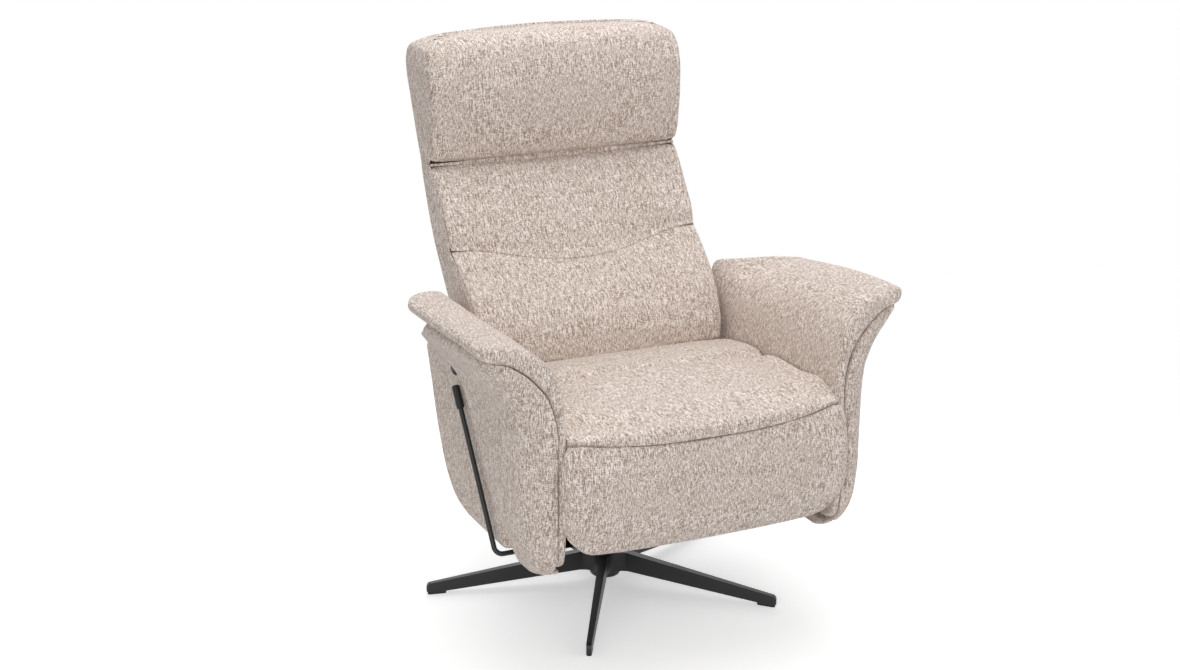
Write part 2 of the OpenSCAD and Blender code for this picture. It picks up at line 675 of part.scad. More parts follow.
// A whole ring from its right-hand half, which starts on the middle line
function half_to_ring(right) =
    concat(right, [for (i = [len(right) - 1:-1:1]) [-right[i][0], right[i][1], right[i][2]]]);
function pocket_ring(w, y0, y1, z) = [[w, y0, z], [-w, y0, z], [-w, y1, z], [w, y1, z]];
// A ring of a front pad: crowned face, rounded edges, flat back
function pad_ring(yf, ym, w, z, crown, fold) =
    let (half = [[0, yf - crown], [0.35, yf - crown * 0.9], [0.65, yf - crown * 0.6],
                 [0.85, yf], [0.94, yf + 5], [0.985, yf + 13], [1, yf + 24]],
         pts = concat([for (p = half) [p[0] * w, min(p[1], ym - 2)]], [[w, ym]]))
    half_to_ring([for (p = pts)
        [p[0], p[1], fold == 0 ? z : fold > 0 ? max(z, fold_z(p[1], 1)) : min(z, fold_z(p[1], -1))]]);
// A ring of a rear cover: flat front, crowned rear face with rounded corners
function cover_ring(ym, yr, w, z, crown) =
    let (q = min(16, (yr - ym) * 0.6))
    half_to_ring([for (p = [[0, yr + crown], [w * 0.5, yr + crown * 0.7], [w * 0.85, yr],
                            [w * 0.95, yr - q * 0.17], [w * 0.985, yr - q * 0.5], [w, yr - q],
                            [w, ym]])
        [p[0], p[1], z]]);
waist_h = 178;
lumbar_rows = [-5, 7, 32, 62, 92, 122, 152, 168, waist_h - seam_gap];
upper_rows = [waist_h + seam_gap, 192, 214, 242, 282, 312, 327];
module lumbar_pad() {
    place() color("#c7b2a1")
        loft([for (i = [0:len(lumbar_rows) - 1])
            let (h = lumbar_rows[i], last = len(lumbar_rows) - 1,
                 tuck = i == 0 ? 10 : i == last ? 9 : i == last - 1 ? 2 : 0)
            pad_ring(back_at(h, 1) + tuck, back_at(h, 2), back_half(h), back_h(h), 8 - tuck / 2, 0)],
            true);
}
head_leaf_x = 140;
head_slot = 9;
module fold_slots() {
    both_sides() {
        xcyl(head_leaf_x - head_slot, head_leaf_x + head_slot, head_y, head_z, head_disc + 1);
        children();
    }
}
module upper_back_pad() {
    place() color("#c7b2a1") difference() {
        loft([for (i = [0:len(upper_rows)])
            let (last = len(upper_rows), h = i == last ? 338 : upper_rows[i],
                 tuck = i == 0 ? 8 : i == 1 ? 2 : i == last ? 1 : 0)
            pad_ring(back_at(h, 1) + tuck, back_at(h, 2), back_half(h),
                     back_h(h) - (i == last ? seam_gap : 0), 8 - tuck / 2, i == last ? -1 : 0)],
            true);
        fold_slots()
            xplate(head_leaf_x - head_slot, head_leaf_x + head_slot,
                   [[head_y - 9, head_z], [head_y + 9, head_z + 5], [head_y + 60, head_z + 5],
                    [head_y + 60, head_z - 40], [head_y + 8, head_z - 36]]);
    }
}
module back_cover() {
    rows = [-112, -60, -35, -5, 7, 32, 62, 92, 122, 152, 177, 190, 204, 242, 282, 312, 327, 338];
    pocket = [-6, 7, 32, 62, 92, 122, 152, 177, 190, 204, 242, 282, 312, 325];
    wall = 4;
    place() color("#c0ab9a") difference() {
        loft([for (h = rows) cover_ring(back_at(h, 2) + seam_gap, back_at(h, 3), cover_half(h),
                                        back_h(h) - (h == 338 ? seam_gap : 0), 6)]);
        loft([for (h = pocket)
            pocket_ring(back_half(h) - 26, back_at(h, 2) - 1, back_at(h, 2) + tube_room, back_h(h))]);
        both_sides() box_at(head_leaf_x - head_slot, head_leaf_x + head_slot, head_y - 30,
                            back_at(312, 2) + tube_room, back_h(312), head_z + 5);
        box_at(-back_w, back_w, recline_y, low_tube[0] + low_tube_r + 1, back_h(-90), back_h(-5));
    }
}
tube_r = back_tube / 2;
tube_room = back_tube + 3;
web_t = 1.6;
tube_x = back_w / 2 - 52;
low_tube_r = 11;
low_tube = [recline_y + 29, recline_z - 28];
function tube_pt(x, h) = [x, back_at(h, 2) + web_t + 0.6 + tube_r, back_h(h)];
top_bar = 297;
function cross_bar(h) = [bar_pt(h - 12, -0.9), bar_pt(h + 12, -0.9), bar_pt(h + 12, 0.9),
                         bar_pt(h - 12, 0.9)];
function bar_pt(h, s) = [tube_pt(0, h)[1] + s * tube_r, back_h(h)];
frame_rows = [-5, 7, 32, 62, 92, 122, 152, 177, 190, 204, 242, 282, 312];
gas_lug = [recline_y + 110 * sin(17.5), recline_z - 110 * cos(17.5)];
lug_x = 8;
lug_t = 5;
gas_pin_r = 4;
module back_frame() {
    place() color("#2a2b2e") difference() {
        union() {
            both_sides() {
                xplate(tube_x - tube_r, tube_x + tube_r,
                       concat([[low_tube[0] - tube_r, low_tube[1] - 4]],
                              [for (h = frame_rows) bar_pt(h, -1)],
                              [for (i = [len(frame_rows) - 1:-1:0]) bar_pt(frame_rows[i], 1)],
                              [[low_tube[0] + tube_r, low_tube[1] - 4]]));
                difference() {
                    xlink(plate_x0, plate_x1, [recline_y, recline_z], low_tube, hinge_r - 3);
                    xcyl(plate_x0 - 1, plate_x1 + 1, recline_y, recline_z, recline_pin_r + pin_gap);
                }
                xlink(lug_x, lug_x + lug_t, low_tube, gas_lug, 7);
                xcyl(lug_x, lug_x + lug_t, gas_lug[0], gas_lug[1], 10);
            }
            xcyl(-plate_x0 - 1, plate_x0 + 1, low_tube[0], low_tube[1], low_tube_r);
            xcyl(-lug_x - lug_t - 2, lug_x + lug_t + 2, gas_lug[0], gas_lug[1], gas_pin_r);
            for (h = [77, 190, top_bar]) xplate(-tube_x, tube_x, cross_bar(h));
        }
    }
}
web_rows = [33, 63, 93, 123, 208, 248];
web_h = 28;
module back_webbing() {
    place() color("#1d1d1f") for (h = web_rows) {
        a = [back_at(h, 2), back_h(h)];
        b = [back_at(h + web_h, 2), back_h(h + web_h)];
        xplate(-tube_x - 10, tube_x + 10, [a + [0.3, 0], b + [0.3, 0], b + [0.3 + web_t, 0], a + [0.3 + web_t, 0]]);
    }
}

// Head part
head_disc = 8;
head_pin_r = 3;
HEAD = [[338, 177, 210, 237, 0], [350, 165, 214, 241, 2], [372, 153, 218, 249, 5],
        [412, 145, 224, 262, 9], [452, 143, 230, 275, 13], [492, 145, 236, 288, 16],
        [527, 152, 242, 294, 17], [552, 163, 246, 292, 10], [569, 178, 248, 280, -6],
        [578, 198, 246, 262, -28]];
head_half0 = back_w / 2 + 10;
function head_half(e) = head_half0 + (e < 0 ? e : e * (head_w / 2 - head_half0) / 17);
module head_pad() {
    place() color("#c7b2a1") difference() {
        loft([for (i = [0:len(HEAD) - 1])
            let (r = HEAD[i], last = len(HEAD) - 1)
            pad_ring(recline_y + r[1] + 10, recline_y + r[2], head_half(r[4]),
                     seat_h + r[0] + (i == 0 ? seam_gap : 0), i == last ? 10 : 18,
                     i == 0 ? 1 : 0)],
            true);
        fold_slots()
            xplate(head_leaf_x - head_slot, head_leaf_x + head_slot,
                   [[head_y - 9, head_z], [head_y + 9, head_z - 5], [head_y + 60, head_z - 5],
                    [head_y + 60, head_z + 40], [head_y + 8, head_z + 36]]);
    }
}
head_depth = 16;
module head_cover() {
    pocket = [350, 372, 412, 452, 492];
    place() color("#c0ab9a") difference() {
        loft([for (i = [0:len(HEAD) - 1])
            let (r = HEAD[i])
            cover_ring(recline_y + r[2] + seam_gap, recline_y + r[3], head_half(r[4]),
                       seat_h + r[0] + (i == 0 ? seam_gap : 0), 6)]);
        loft([for (h = pocket)
            let (y0 = recline_y + at(HEAD, h, 2))
            pocket_ring(head_leaf_x + 24, y0 - 1, y0 + head_depth, seat_h + h)]);
        both_sides() box_at(head_leaf_x - head_slot, head_leaf_x + head_slot, head_y - 30,
                            recline_y + at(HEAD, 352, 2) + head_depth, head_z - 5, seat_h + 356);
    }
}
function head_pt(x, h) = [x, recline_y + at(HEAD, h, 2) + 8, seat_h + h];
function head_bar_pt(h, s) = [head_pt(0, h)[1] + s * head_rod_r, seat_h + h];
head_rod_r = 6;
module head_frame() {
    x = head_leaf_x + head_rod_r + run_gap;
    place() color("#2a2b2e") difference() {
        union() {
            both_sides() {
                xplate(x - head_rod_r, x + head_rod_r,
                       concat([for (h = [352, 372, 412, 452, 488]) head_bar_pt(h, -1)],
                              [for (h = [488, 452, 412, 372, 352]) head_bar_pt(h, 1)]));
                xlink(head_leaf_x + run_gap, head_leaf_x + run_gap + leaf_t, [head_y, head_z],
                      [head_pt(x, 362)[1], head_pt(x, 362)[2]], head_disc - 1);
            }
            for (h = [400, 476]) {
                p = head_pt(0, h);
                box_at(-x, x, p[1] - head_rod_r + 1, p[1] + head_rod_r - 1, p[2] - 8, p[2] + 8);
            }
        }
        both_sides() xcyl(head_leaf_x - 10, head_leaf_x + 10, head_y, head_z, head_pin_r + pin_gap);
    }
}
module head_hinges() {
    foot = bar_pt(top_bar + 14, -0.2);
    x1 = head_leaf_x;
    place() color("#2a2b2e") both_sides() difference() {
        xlink(x1 - leaf_t, x1, [head_y, head_z], foot, head_disc - 1);
        xcyl(x1 - 10, x1 + 10, head_y, head_z, head_pin_r + pin_gap);
        xplate(x1 - 10, x1 + 10, cross_bar(top_bar));
    }
}
module head_pins() {
    x1 = head_leaf_x;
    place() color("#9a9c9f") both_sides() {
        xcyl(x1 - leaf_t - 2, x1 + leaf_t + 2, head_y, head_z, head_pin_r);
        xcyl(x1 - leaf_t - 2, x1 - leaf_t, head_y, head_z, head_pin_r + 2);
    }
}

// Gas spring between the front cross tube and the back frame
gas_anchor_pt = [anchor_y, rail_z + 22];
gas_dir = (gas_lug - gas_anchor_pt) / norm(gas_lug - gas_anchor_pt);
gas_len = 150;
gas_eye_r = 9;
gas_slack = 4.6;
function gas_at(d) = gas_anchor_pt + gas_dir * d;
module along_gas(d0, d1, r) {
    a = gas_at(d0);
    b = gas_at(d1);
    bar([0, a[0], a[1]], [0, b[0], b[1]], r);
}
module gas_cylinder() {
    place() color("#1c1d1f") difference() {
        union() {
            along_gas(12, gas_len, gas_d / 2);
            xcyl(-lug_x + run_gap, lug_x - run_gap, gas_anchor_pt[0], gas_anchor_pt[1], gas_eye_r);
            along_gas(0, 14, 6);
        }
        along_gas(20, gas_len + 1, gas_rod_d / 2 + pin_gap);
        xcyl(-lug_x, lug_x, gas_anchor_pt[0], gas_anchor_pt[1], gas_pin_r + pin_gap);
    }
}
gas_reach = norm(gas_lug - gas_anchor_pt);
module gas_rod() {
    eye = gas_pin_r + gas_slack;
    place() color("#b9bbbe") difference() {
        union() {
            along_gas(gas_len - 60, gas_reach - eye, gas_rod_d / 2);
            xcyl(-lug_x + run_gap + 1, lug_x - run_gap - 1, gas_lug[0], gas_lug[1], eye + 5);
        }
        xcyl(-lug_x, lug_x, gas_lug[0], gas_lug[1], eye);
    }
}
module gas_anchor() {
    z0 = cross_z + tube;
    place() color("#2a2b2e") {
        both_sides() difference() {
            union() {
                xplate(lug_x, lug_x + lug_t, [[anchor_y - 14, z0], [anchor_y + 14, z0],
                       [anchor_y + 10, gas_anchor_pt[1]], [anchor_y - 10, gas_anchor_pt[1]]]);
                xcyl(lug_x, lug_x + lug_t, anchor_y, gas_anchor_pt[1], 10);
            }
            xcyl(0, 30, anchor_y, gas_anchor_pt[1], gas_pin_r);
        }
        xcyl(-lug_x - lug_t - 2, lug_x + lug_t + 2, anchor_y, gas_anchor_pt[1], gas_pin_r);
    }
}

// Control rod at the sitter's right, its shaft under the arm, and the push button
side_face = arm_in + 66;
lever_x = -(side_face + 10);
lever_r = lever_d / 2;
shaft = [-(arm_front - 139), rail_z - 48];
grip_low = [shaft[0] + 155, shaft[1] + 222];
grip_way = (grip_low - shaft) / norm(grip_low - shaft);
module lever_rod() {
    bend = 14;
    place() color("#141516") translate([0, shaft[0], shaft[1]])
        rotate([-atan2(grip_way[0], grip_way[1]), 0, 0]) {
            xcyl(lever_x + bend, -rail_in + 8, 0, 0, lever_r);
            translate([lever_x + bend, 0, bend]) rotate([90, 180, 0])
                rotate_extrude(angle = 90) translate([bend, 0]) circle(r = lever_r);
            translate([lever_x, 0, bend])
                cylinder(h = norm(grip_low - shaft) + 12 - bend, r = lever_r);
        }
}
module lever_grip() {
    r = grip_d / 2;
    place() color("#0e0f10") translate([lever_x, grip_low[0], grip_low[1]])
        rotate([-atan2(grip_way[0], grip_way[1]), 0, 0]) rotate_extrude()
            polygon([[lever_r, 0], [r - 0.8, 0], [r, 0.8], [r, grip_len - 1.5],
                     [r - 1.5, grip_len], [0, grip_len], [0, 12], [lever_r, 12]]);
}
ear_t = 5;
module lever_bracket() {
    place() color("#2a2b2e") for (x = [-rail_in - ear_t, -rail_out])
        difference() {
            union() {
                xplate(x, x + ear_t, [[shaft[0] - 12, shaft[1]], [shaft[0] + 12, shaft[1]],
                                      [shaft[0] + 20, rail_z], [shaft[0] - 20, rail_z]]);
                xcyl(x, x + ear_t, shaft[0], shaft[1], 12);
            }
            xcyl(x - 1, x + ear_t + 1, shaft[0], shaft[1], lever_r + pin_gap);
        }
}
button_x = side_face + 1;
button_y = -(arm_front - 337);
button_z = seat_h + 39;
module button_bezel() {
    place() color("#111213") mirror([1, 0, 0]) difference() {
        union() {
            xcyl(button_x - 16, button_x + 2, button_y, button_z, button_d / 2 + 3.6);
            xcyl(button_x + 2, button_x + 4, button_y, button_z, button_d / 2 + 2.6);
        }
        xcyl(button_x - 12, button_x + 8, button_y, button_z, button_d / 2 + 0.1);
    }
}
module button_cap() {
    place() color("#1a1b1c") mirror([1, 0, 0]) {
        xcyl(button_x - 12 + button_travel + run_gap, button_x + 5, button_y, button_z, button_d / 2);
        xcyl(button_x + 5, button_x + 6.5, button_y, button_z, button_d / 2 - 1.5);
    }
}

star_base();
base_glides();
base_column();
swivel_bush();
thrust_washer();
swivel_plate();
swivel_bolts();
side_rails();
cross_tubes();
seat_frame();
seat_springs();
spring_clips();
seat_pad();
dust_cover();
arm_board_left();
arm_board_right();
arm_spacers();
arm_bolts();
arm_pad_left();
arm_pad_right();
arm_panel_left();
arm_panel_right();
arm_side_left();
arm_side_right();
recline_brackets();
recline_pins();
legrest_brackets();
legrest_pins();
gas_anchor();
lever_bracket();
button_bezel();
back_frame();
back_webbing();
lumbar_pad();
upper_back_pad();
back_cover();
head_hinges();
head_pins();
head_frame();
head_pad();
head_cover();
legrest_board();
legrest_arms();
legrest_pad();
lever_rod();
lever_grip();
button_cap();
gas_cylinder();
gas_rod();
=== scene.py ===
import json
import math

import bpy
import numpy as np
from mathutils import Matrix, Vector

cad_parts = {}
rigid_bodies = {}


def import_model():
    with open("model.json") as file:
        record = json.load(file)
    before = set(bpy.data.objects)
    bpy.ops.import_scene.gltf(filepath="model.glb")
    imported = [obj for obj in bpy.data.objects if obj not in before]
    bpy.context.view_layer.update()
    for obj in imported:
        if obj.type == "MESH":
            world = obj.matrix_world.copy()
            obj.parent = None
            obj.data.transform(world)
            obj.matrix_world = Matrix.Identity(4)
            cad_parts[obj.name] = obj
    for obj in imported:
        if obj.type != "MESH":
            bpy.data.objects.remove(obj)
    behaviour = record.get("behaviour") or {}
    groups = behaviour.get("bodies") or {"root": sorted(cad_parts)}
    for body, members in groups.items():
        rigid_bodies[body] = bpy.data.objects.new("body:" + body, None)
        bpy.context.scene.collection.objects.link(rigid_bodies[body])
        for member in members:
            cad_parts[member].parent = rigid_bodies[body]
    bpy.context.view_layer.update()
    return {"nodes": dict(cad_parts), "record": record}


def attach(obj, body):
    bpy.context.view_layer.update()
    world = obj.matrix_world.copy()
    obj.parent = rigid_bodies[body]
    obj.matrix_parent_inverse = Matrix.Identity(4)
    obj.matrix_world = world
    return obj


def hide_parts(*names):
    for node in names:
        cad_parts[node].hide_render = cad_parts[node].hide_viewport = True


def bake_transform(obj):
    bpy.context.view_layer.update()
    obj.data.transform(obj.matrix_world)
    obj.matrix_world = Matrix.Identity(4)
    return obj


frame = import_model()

# Chair coordinates, in mm: x to the sitter's left, y backwards from the recliner's own
# origin, z up from the floor. The solids' frame has the same axes, SY further back.
SY = 48.5
SEAT = 458.0                      # height of the seat's edge
FRONT = 436.0                     # the leg rest's hinge, ahead of the origin
ARM_IN = 262.0                    # inner face of an arm, from the middle
ARM_FRONT = 409.0                 # front end of an arm, ahead of the origin
REC_Y = 50.0                      # recline axis: the back's tables count from here
HEAD_Y, HEAD_Z = 236.0, 796.0     # hinge of the head part
SHIFT = np.array([0, SY, 0])

scene = bpy.context.scene
for ob in [o for o in bpy.data.objects if o.name in ("Cube", "Light", "Camera")]:
    bpy.data.objects.remove(ob)


# ---------- curves and lofts ----------

def spow(v, e):
    return math.copysign(abs(v) ** e, v)


def pchip(xs, ys, q):
    """Smooth values through the rows that never overshoot them."""
    xs, ys, q = np.asarray(xs, float), np.asarray(ys, float), np.asarray(q, float)
    h = np.diff(xs)
    d = np.diff(ys, axis=0) / h.reshape(-1, *([1] * (ys.ndim - 1)))
    m = np.zeros_like(ys)
    m[0], m[-1] = d[0], d[-1]
    for i in range(1, len(xs) - 1):
        a, b = d[i - 1], d[i]
        w1, w2 = 2 * h[i] + h[i - 1], h[i] + 2 * h[i - 1]
        with np.errstate(divide="ignore", invalid="ignore"):
            v = (w1 + w2) / (w1 / a + w2 / b)
        m[i] = np.where(a * b > 0, v, 0.0)
    k = np.clip(np.searchsorted(xs, q) - 1, 0, len(xs) - 2)
    t = ((q - xs[k]) / h[k]).reshape(-1, *([1] * (ys.ndim - 1)))
    hk = h[k].reshape(-1, *([1] * (ys.ndim - 1)))
    return ((2 * t**3 - 3 * t**2 + 1) * ys[k] + (t**3 - 2 * t**2 + t) * hk * m[k]
            + (-2 * t**3 + 3 * t**2) * ys[k + 1] + (t**3 - t**2) * hk * m[k + 1])


def dense(rows, per):
    """The table's rows with smooth rows between them."""
    rows = np.array(rows, float)
    n = (len(rows) - 1) * per + 1
    return pchip(np.arange(len(rows)), rows, np.linspace(0, len(rows) - 1, n))


def make(name, verts, faces, smooth=True):
    me = bpy.data.meshes.new(name)
    me.from_pydata([tuple(v) for v in verts], [], faces)
    me.validate()
    me.update()
    ob = bpy.data.objects.new(name, me)
    scene.collection.objects.link(ob)
    if smooth:
        me.polygons.foreach_set("use_smooth", [True] * len(me.polygons))
    return ob


def loft(name, rings):
    """Quads over rings of points in mm, chair coordinates; strips close the ends."""
    rings = np.asarray(rings, float)
    m, n = rings.shape[:2]
    v = rings.reshape(-1, 3).copy()
    v[:, 1] += SY
    faces = [(i * n + k, i * n + (k + 1) % n, (i + 1) * n + (k + 1) % n, (i + 1) * n + k)
             for i in range(m - 1) for k in range(n)]
    pairs = (n - 1) // 2
    for s, turn in ((0, True), ((m - 1) * n, False)):
        fs = [(s, s + 1, s + n - 1)]
        fs += [(s + k, s + k + 1, s + n - k - 1, s + n - k) for k in range(1, pairs)]
        if n % 2 == 0:
            fs.append((s + pairs, s + pairs + 1, s + n - pairs))
        faces += [f[::-1] for f in fs] if turn else fs
    ob = make(name, v / 1000.0, faces)
    fix_normals(ob)
    return ob


def fix_normals(ob):
    """Turns the faces outwards, by the sign of the volume."""
    me = ob.data
    vol = 0.0
    co = get_co(ob)
    for p in me.polygons:
        a = co[p.vertices[0]]
        for i in range(1, len(p.vertices) - 1):
            vol += np.dot(a, np.cross(co[p.vertices[i]], co[p.vertices[i + 1]]))
    if vol < 0:
        me.flip_normals()


def per_vertex(ob, what):
    values = np.zeros(len(ob.data.vertices) * 3)
    ob.data.vertices.foreach_get(what, values)
    return values.reshape(-1, 3)


def get_co(ob):
    return per_vertex(ob, "co")


def normals(ob):
    return per_vertex(ob, "normal")


def set_co(ob, co):
    ob.data.vertices.foreach_set("co", np.ascontiguousarray(co).ravel())
    ob.data.update()


def get_chair(ob):
    """The vertices in chair coordinates."""
    return get_co(ob) * 1000.0 - SHIFT


def set_chair(ob, co):
    set_co(ob, (co + SHIFT) / 1000.0)


def mirror_x(ob, name):
    me = ob.data.copy()
    me.name = name
    new = bpy.data.objects.new(name, me)
    scene.collection.objects.link(new)
    co = get_co(new)
    co[:, 0] *= -1
    set_co(new, co)
    me.flip_normals()
    me.update()
    return new


def apply_modifiers(ob):
    """Puts the modifiers' result in the place of the mesh."""
    dg = bpy.context.evaluated_depsgraph_get()
    me = bpy.data.meshes.new_from_object(ob.evaluated_get(dg))
    old = ob.data
    ob.modifiers.clear()
    ob.data = me
    me.name = old.name
    bpy.data.meshes.remove(old)
    me.polygons.foreach_set("use_smooth", [True] * len(me.polygons))


def refine(ob):
    """One level of subdivision."""
    m = ob.modifiers.new("sub", "SUBSURF")
    m.levels = m.render_levels = 1
    apply_modifiers(ob)


CLOTH_FRAMES = 20
CLOTH_STIFF = 12.0
CLOTH_PRESSURE = 4.0


def inflate(ob, free, cap):
    """Cloth under air pressure.

    free(co) says how freely each vertex may move, 0 to 1; none moves further than cap, in m.
    """
    rest = get_co(ob)
    w = np.clip(free(rest * 1000.0 - SHIFT), 0, 1)
    pin = ob.vertex_groups.new(name="pin")
    for i, f in enumerate(w):
        if f < 0.999:
            pin.add([i], float(1 - f), "REPLACE")
    cl = ob.modifiers.new("cloth", "CLOTH")
    st = cl.settings
    st.quality = 6
    st.mass = 0.25
    st.tension_stiffness = st.compression_stiffness = CLOTH_STIFF
    st.shear_stiffness = CLOTH_STIFF * 0.6
    st.bending_stiffness = 0.4
    st.air_damping = 2.0
    st.use_pressure = True
    st.uniform_pressure_force = CLOTH_PRESSURE
    st.vertex_group_mass = "pin"
    st.pin_stiffness = 4.0
    st.effector_weights.gravity = 0.0
    cl.collision_settings.use_collision = False
    cl.collision_settings.use_self_collision = False
    cl.point_cache.frame_start = 1
    cl.point_cache.frame_end = CLOTH_FRAMES
    for f in range(1, CLOTH_FRAMES + 1):
        scene.frame_set(f)
    dg = bpy.context.evaluated_depsgraph_get()
    ev = ob.evaluated_get(dg)
    co = np.zeros(len(ev.data.vertices) * 3)
    ev.data.vertices.foreach_get("co", co)
    ob.modifiers.clear()
    ob.vertex_groups.clear()
    move = co.reshape(-1, 3) - rest
    size = np.linalg.norm(move, axis=1, keepdims=True)
    move *= np.minimum(1.0, cap / np.maximum(size, 1e-9))
    set_co(ob, rest + move * w.reshape(-1, 1))
    scene.frame_set(1)


def near_line(co, line):
    """Distance from each point to a polyline, and the share of its length there."""
    best = np.full(len(co), 1e9)
    along = np.zeros(len(co))
    line = np.asarray(line, float)
    seg = np.linalg.norm(np.diff(line, axis=0), axis=1)
    total, run = seg.sum(), 0.0
    for a, b, s in zip(line[:-1], line[1:], seg):
        d = b - a
        t = np.clip(((co - a) @ d) / max(s * s, 1e-12), 0, 1)
        dist = np.linalg.norm(co - a - t[:, None] * d, axis=1)
        hit = dist < best
        best[hit] = dist[hit]
        along[hit] = (run + t[hit] * s) / total
        run += s
    return best, along


def groove(ob, line, width, depth, pucker=0.0, spacing=14.0, seed=0):
    """A sewn line: points near it sink along their normal; pucker adds gathers beside it."""
    co = get_chair(ob)
    no = normals(ob)
    reach = width * 4
    lo, hi = np.min(line, axis=0) - reach, np.max(line, axis=0) + reach
    sel = np.all((co > lo) & (co < hi), axis=1)
    d, t = near_line(co[sel], line)
    length = np.linalg.norm(np.diff(np.asarray(line, float), axis=0), axis=1).sum()
    sink = depth * np.exp(-(d / width) ** 2)
    if pucker:
        rng = np.random.default_rng(seed)
        phases = rng.uniform(0, 6.28, 5)
        turns = np.arange(1, 6) * length / spacing / 3
        wave = sum(np.sin(6.283 * k * t + p) for k, p in zip(turns, phases)) / 5
        sink += pucker * wave * np.exp(-(d / reach) ** 2)
    co[sel] -= no[sel] * sink[:, None]
    set_chair(ob, co)


def noise3(p, scale, seed):
    """Smooth value noise between -1 and 1 on points p, in mm."""
    rng = np.random.default_rng(seed)
    tab = rng.uniform(-1, 1, (32, 32, 32))
    q = p / scale + 100.0
    i = np.floor(q).astype(int)
    f = q - i
    f = f * f * (3 - 2 * f)
    out = 0
    for dx in (0, 1):
        for dy in (0, 1):
            for dz in (0, 1):
                w = (np.where(dx, f[:, 0], 1 - f[:, 0]) * np.where(dy, f[:, 1], 1 - f[:, 1])
                     * np.where(dz, f[:, 2], 1 - f[:, 2]))
                out = out + w * tab[(i[:, 0] + dx) % 32, (i[:, 1] + dy) % 32, (i[:, 2] + dz) % 32]
    return out


def wobble(ob, amount, scale, seed):
    """Very shallow unevenness of stuffed fabric."""
    co = get_co(ob) * 1000.0
    no = normals(ob)
    d = amount * noise3(co, scale, seed) + amount * 0.4 * noise3(co, scale * 0.4, seed + 7)
    set_co(ob, (co + no * d[:, None]) / 1000.0)


# ---------- materials ----------

def material(name):
    m = bpy.data.materials.new(name)
    m.use_nodes = True
    nt = m.node_tree
    return m, nt, nt.nodes["Principled BSDF"]


def node(nt, kind, **values):
    """A new node. A value goes to the input of that name, or else to the node's own setting."""
    n = nt.nodes.new(kind)
    for k, v in values.items():
        if k in n.inputs:
            n.inputs[k].default_value = v
        else:
            setattr(n, k, v)
    return n


def linear(c):
    """A colour written as #rrggbb, in linear light."""
    c = [int(c[i:i + 2], 16) / 255 for i in (1, 3, 5)]
    return tuple(x / 12.92 if x <= 0.04045 else ((x + 0.055) / 1.055) ** 2.4 for x in c) + (1.0,)


def math_node(nt, op, a, b):
    n = nt.nodes.new("ShaderNodeMath")
    n.operation = op
    for i, v in enumerate((a, b)):
        if isinstance(v, (int, float)):
            n.inputs[i].default_value = v
        else:
            nt.links.new(v, n.inputs[i])
    return n.outputs[0]


def stretched_noise(nt, vec, scale):
    mp = node(nt, "ShaderNodeMapping")
    mp.inputs["Scale"].default_value = scale
    nt.links.new(vec, mp.inputs["Vector"])
    n = node(nt, "ShaderNodeTexNoise", Scale=1.0, Detail=1.0, Roughness=0.6)
    nt.links.new(mp.outputs[0], n.inputs["Vector"])
    return n.outputs["Fac"]


def weave_height(nt, vec, plane):
    """Slubby plain weave in one plane: fine threads both ways, thick and thin."""
    a, b = {"x": (1, 2), "y": (0, 2), "z": (0, 1)}[plane]

    def threads(across, along):
        scale = [60.0, 60.0, 60.0]
        scale[a], scale[b] = across, along
        return stretched_noise(nt, vec, scale)

    weft = threads(190, 1150)
    warp = threads(1050, 120)
    slub = threads(520, 60)
    rib = node(nt, "ShaderNodeTexWave", Scale=120.0, Distortion=2.5, Detail=2.0)
    rib.bands_direction = "Y" if plane == "x" else "X"
    nt.links.new(vec, rib.inputs["Vector"])
    return weft, warp, slub, rib.outputs["Fac"]


WEAVE_MIX = (0.37, 0.47, 0.12, 0.04)    # weft, warp, slub, rib


